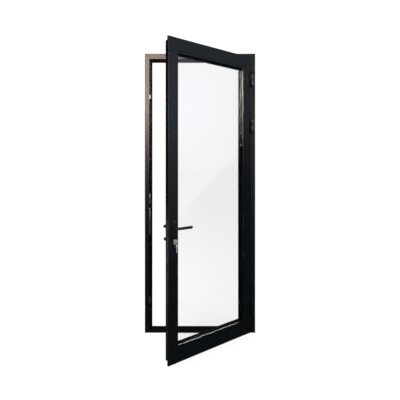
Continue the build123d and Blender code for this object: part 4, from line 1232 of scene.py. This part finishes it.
@dataclass
class Studio:
    """The camera, floor and lights."""

    camera_place: tuple[float, float, float] = (0.0, -3.53, 1.435)
    lens: float = 36.63
    sensor: float = 36.0
    shift_y: float = -0.0853
    # The backdrop's strength where it is seen, in gloss, as soft light, and as a painted highlight where gloss
    # meets it through the glass, which counts for directions with at least this Y and Z.
    backdrop: str = "ffffff"
    seen_sky: float = 1.05
    dim_sky: float = 0.022
    fill: float = 1.1
    painted_highlight_sky: float = 4.0
    painted_highlight_way: tuple[float, float] = (0.5, 0.28)
    # The floor, its colour behind a gloss bounce, painted dark as painted shade in reflections, and the light that
    # it gives itself.
    floor: str = "808080"
    floor_painted_dark_in_gloss: str = "101010"
    floor_roughness: float = 0.9
    floor_glow: float = 0.79
    floor_size: float = 400.0
    floor_drop: float = 0.5 * MM
    # The glowing wall's corners, its strength and what its band adds, the weights of Y and Z in the line
    # that cuts it off and where it fades in along them, and the band's heights and reach to the front.
    wall: tuple = ((5.0, -7.0, 0.1), (5.02, 1.5, 7.0))
    wall_low: float = 0.32
    wall_high: float = 0.5
    wall_slant: tuple[float, float] = (-0.741, 0.671)
    wall_cut: tuple[float, float] = (1.25, 1.27)
    wall_band: tuple = ((1.7, 2.5), (3.7, 2.9))
    wall_front: tuple[float, float] = (0.1, 1.2)
    wall_tints: tuple[str, str] = ("e6e9f0", "b4c4f4")
    # The black card's corners and colour.
    card: tuple = ((-0.76, -0.95, 1.0), (-0.75, -0.38, 2.9))
    card_colour: str = "020202"

    def build(self) -> None:
        """Set up the scene."""
        scene = bpy.context.scene
        scene.view_settings.view_transform = "Standard"
        self.add_camera(scene)
        self.add_world(scene)
        self.add_floor()
        self.add_right_wall()
        self.add_flag()
        self.add_lights()

    def add_camera(self, scene: bpy.types.Scene) -> None:
        """Stand the camera level in front of the door.

        Args:
            scene: The scene.
        """
        data = bpy.data.cameras.new("camera")
        data.lens = self.lens
        data.shift_y = self.shift_y
        data.sensor_width = self.sensor
        camera = bpy.data.objects.new("camera", data)
        camera.location = self.camera_place
        camera.rotation_euler = (math.pi / 2, 0, 0)
        scene.collection.objects.link(camera)
        scene.camera = camera

    def add_world(self, scene: bpy.types.Scene) -> None:
        """Make a white backdrop that gloss sees as a dim room, with a painted highlight: bright where gloss meets
        it through the glass.

        Args:
            scene: The scene.
        """
        world = bpy.data.worlds.new("studio")
        world.use_nodes = True
        tree = world.node_tree
        tree.nodes.clear()
        path = add_node(tree, "ShaderNodeLightPath").outputs
        place = add_node(tree, "ShaderNodeTexCoord")
        way = add_node(tree, "ShaderNodeSeparateXYZ", {0: place.outputs["Generated"]}).outputs
        depth = maths(tree, "ADD", path["Glossy Depth"], path["Diffuse Depth"])
        straight, bounced = (maths(tree, kind, depth, ONE_BOUNCE) for kind in ("LESS_THAN", "GREATER_THAN"))
        through = maths(tree, "MULTIPLY", path["Is Transmission Ray"], straight)
        seen = maths(tree, "MAXIMUM", path["Is Camera Ray"], through)
        mirrored = maths(tree, "MULTIPLY", path["Is Transmission Ray"], bounced)
        # Painted highlight: rays that bounced and then pass through the glass see the backdrop much brighter in
        # directions with enough Y and Z.
        sides = (maths(tree, "GREATER_THAN", way[axis], least) for axis, least in zip("YZ", self.painted_highlight_way))
        highlight_way_mask = maths(tree, "MULTIPLY", *sides)
        painted_highlight_strength = maths(tree, "MULTIPLY", maths(tree, "MULTIPLY", mirrored, highlight_way_mask), self.painted_highlight_sky)
        room = ramp(tree, path["Is Diffuse Ray"], (0.0, 1.0), (self.dim_sky, self.fill))
        strength = add_node(
            tree, "ShaderNodeMix", {0: seen, 2: maths(tree, "ADD", room, painted_highlight_strength)}, inputs={3: self.seen_sky}
        )
        light = add_node(
            tree, "ShaderNodeBackground", {"Strength": strength.outputs[0]}, inputs={"Color": srgb(self.backdrop)}
        )
        add_node(tree, "ShaderNodeOutputWorld", {"Surface": light.outputs[0]})
        scene.world = world

    def add_right_wall(self) -> None:
        """Stand a faint glowing wall to the right, cut off aslant below, brighter high up and to the front."""
        wall = bar(*self.wall)
        wall.name = "right_wall"
        material, tree = blank_material("glowing_wall")
        place = add_node(tree, "ShaderNodeTexCoord")
        axes = add_node(tree, "ShaderNodeSeparateXYZ", {0: place.outputs["Object"]}).outputs
        rise = maths(tree, "MULTIPLY", axes["Z"], self.wall_slant[1])
        slant = maths(tree, "MULTIPLY_ADD", axes["Y"], self.wall_slant[0], rise)
        front = maths(tree, "MULTIPLY", axes["Y"], -1.0)
        sides = maths(tree, "MULTIPLY", *(ramp(tree, axes["Z"], span) for span in self.wall_band))
        high = maths(tree, "MULTIPLY", sides, ramp(tree, front, self.wall_front))
        level = maths(tree, "MULTIPLY_ADD", high, self.wall_high, self.wall_low)
        glow = maths(tree, "MULTIPLY", level, ramp(tree, slant, self.wall_cut))
        plain, band = (srgb(code) for code in self.wall_tints)
        tint = add_node(tree, "ShaderNodeMix", {0: high}, data_type="RGBA", inputs={6: plain, 7: band})
        light = add_node(tree, "ShaderNodeEmission", {"Strength": glow, "Color": tint.outputs[2]})
        add_node(tree, "ShaderNodeOutputMaterial", {"Surface": light.outputs[0]})
        wall.data.materials.append(material)
        wall.visible_camera = False

    def add_flag(self) -> None:
        """Hold a black card that keeps the left window off the leaf's lock edge."""
        card = bar(*self.card)
        card.name = "black_card"
        material, tree = blank_material("black_card")
        shader = add_node(
            tree, "ShaderNodeBsdfPrincipled",
            inputs={"Base Color": srgb(self.card_colour), "Specular IOR Level": 0.0},
        )
        add_node(tree, "ShaderNodeOutputMaterial", {"Surface": shader.outputs[0]})
        card.data.materials.append(material)
        card.visible_camera = False

    def add_floor(self) -> None:
        """Lay a plain pale floor that glows a little, that gloss doesn't pick up, and that is painted dark to rays
        that bounced off gloss, a painted shade in reflections.
        """
        clear_selection()
        bpy.ops.mesh.primitive_plane_add(size=self.floor_size, location=(0, 0, -self.floor_drop))
        floor = bpy.context.object
        floor.name = "studio_floor"
        material, tree = blank_material("pale_floor")
        path = add_node(tree, "ShaderNodeLightPath")
        gloss_painted_dark_mask = maths(tree, "GREATER_THAN", path.outputs["Glossy Depth"], ONE_BOUNCE)
        pale = add_node(
            tree, "ShaderNodeBsdfPrincipled",
            inputs={
                "Base Color": srgb(self.floor), "Roughness": self.floor_roughness, "Specular IOR Level": 0.0,
                "Emission Color": srgb(self.backdrop), "Emission Strength": self.floor_glow,
            },
        )
        # Painted shade: the floor turns near black to rays that bounced off gloss, so its reflections read dark.
        painted_dark_floor = add_node(tree, "ShaderNodeBsdfDiffuse", inputs={"Color": srgb(self.floor_painted_dark_in_gloss)})
        blend = add_node(tree, "ShaderNodeMixShader", {0: gloss_painted_dark_mask, 1: pale.outputs[0], 2: painted_dark_floor.outputs[0]})
        add_node(tree, "ShaderNodeOutputMaterial", {"Surface": blend.outputs[0]})
        floor.data.materials.append(material)
        floor.visible_glossy = False

    def add_lights(self) -> None:
        """Hang the softboxes round the door."""
        for box in SOFTBOXES:
            data = bpy.data.lights.new(box.name, "AREA")
            data.shape = "RECTANGLE"
            data.size, data.size_y = box.size
            data.energy = box.watts
            data.color = srgb(box.colour)[:3]
            lamp = bpy.data.objects.new(box.name, data)
            lamp.location = box.place
            lamp.visible_camera = False
            aim = Vector(box.target) - Vector(box.place)
            lamp.rotation_euler = aim.to_track_quat("-Z", "Y").to_euler()
            bpy.context.scene.collection.objects.link(lamp)


def main() -> None:
    """Build the scene."""
    logging.basicConfig(level=logging.INFO, format="%(message)s")
    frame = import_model()
    shop = Workshop(frame)
    shop.dress_nodes()
    Studio().build()
    frame_screws, leaf_screws = HingeSet(shop).build()
    frame_screws += Strikes(shop).build()
    leaf_screws += LockSet(shop).build()
    Keys(shop).build()
    WedgeGasket(shop).build()
    shop.finish_piece(join(frame_screws), "frame_screw_heads", "frame", Surface.STEEL, ["frame_screws"])
    shop.finish_piece(join(leaf_screws), "leaf_screw_heads", "leaf", Surface.STEEL, ["leaf_screws"])


if __name__ == "__main__":
    main()
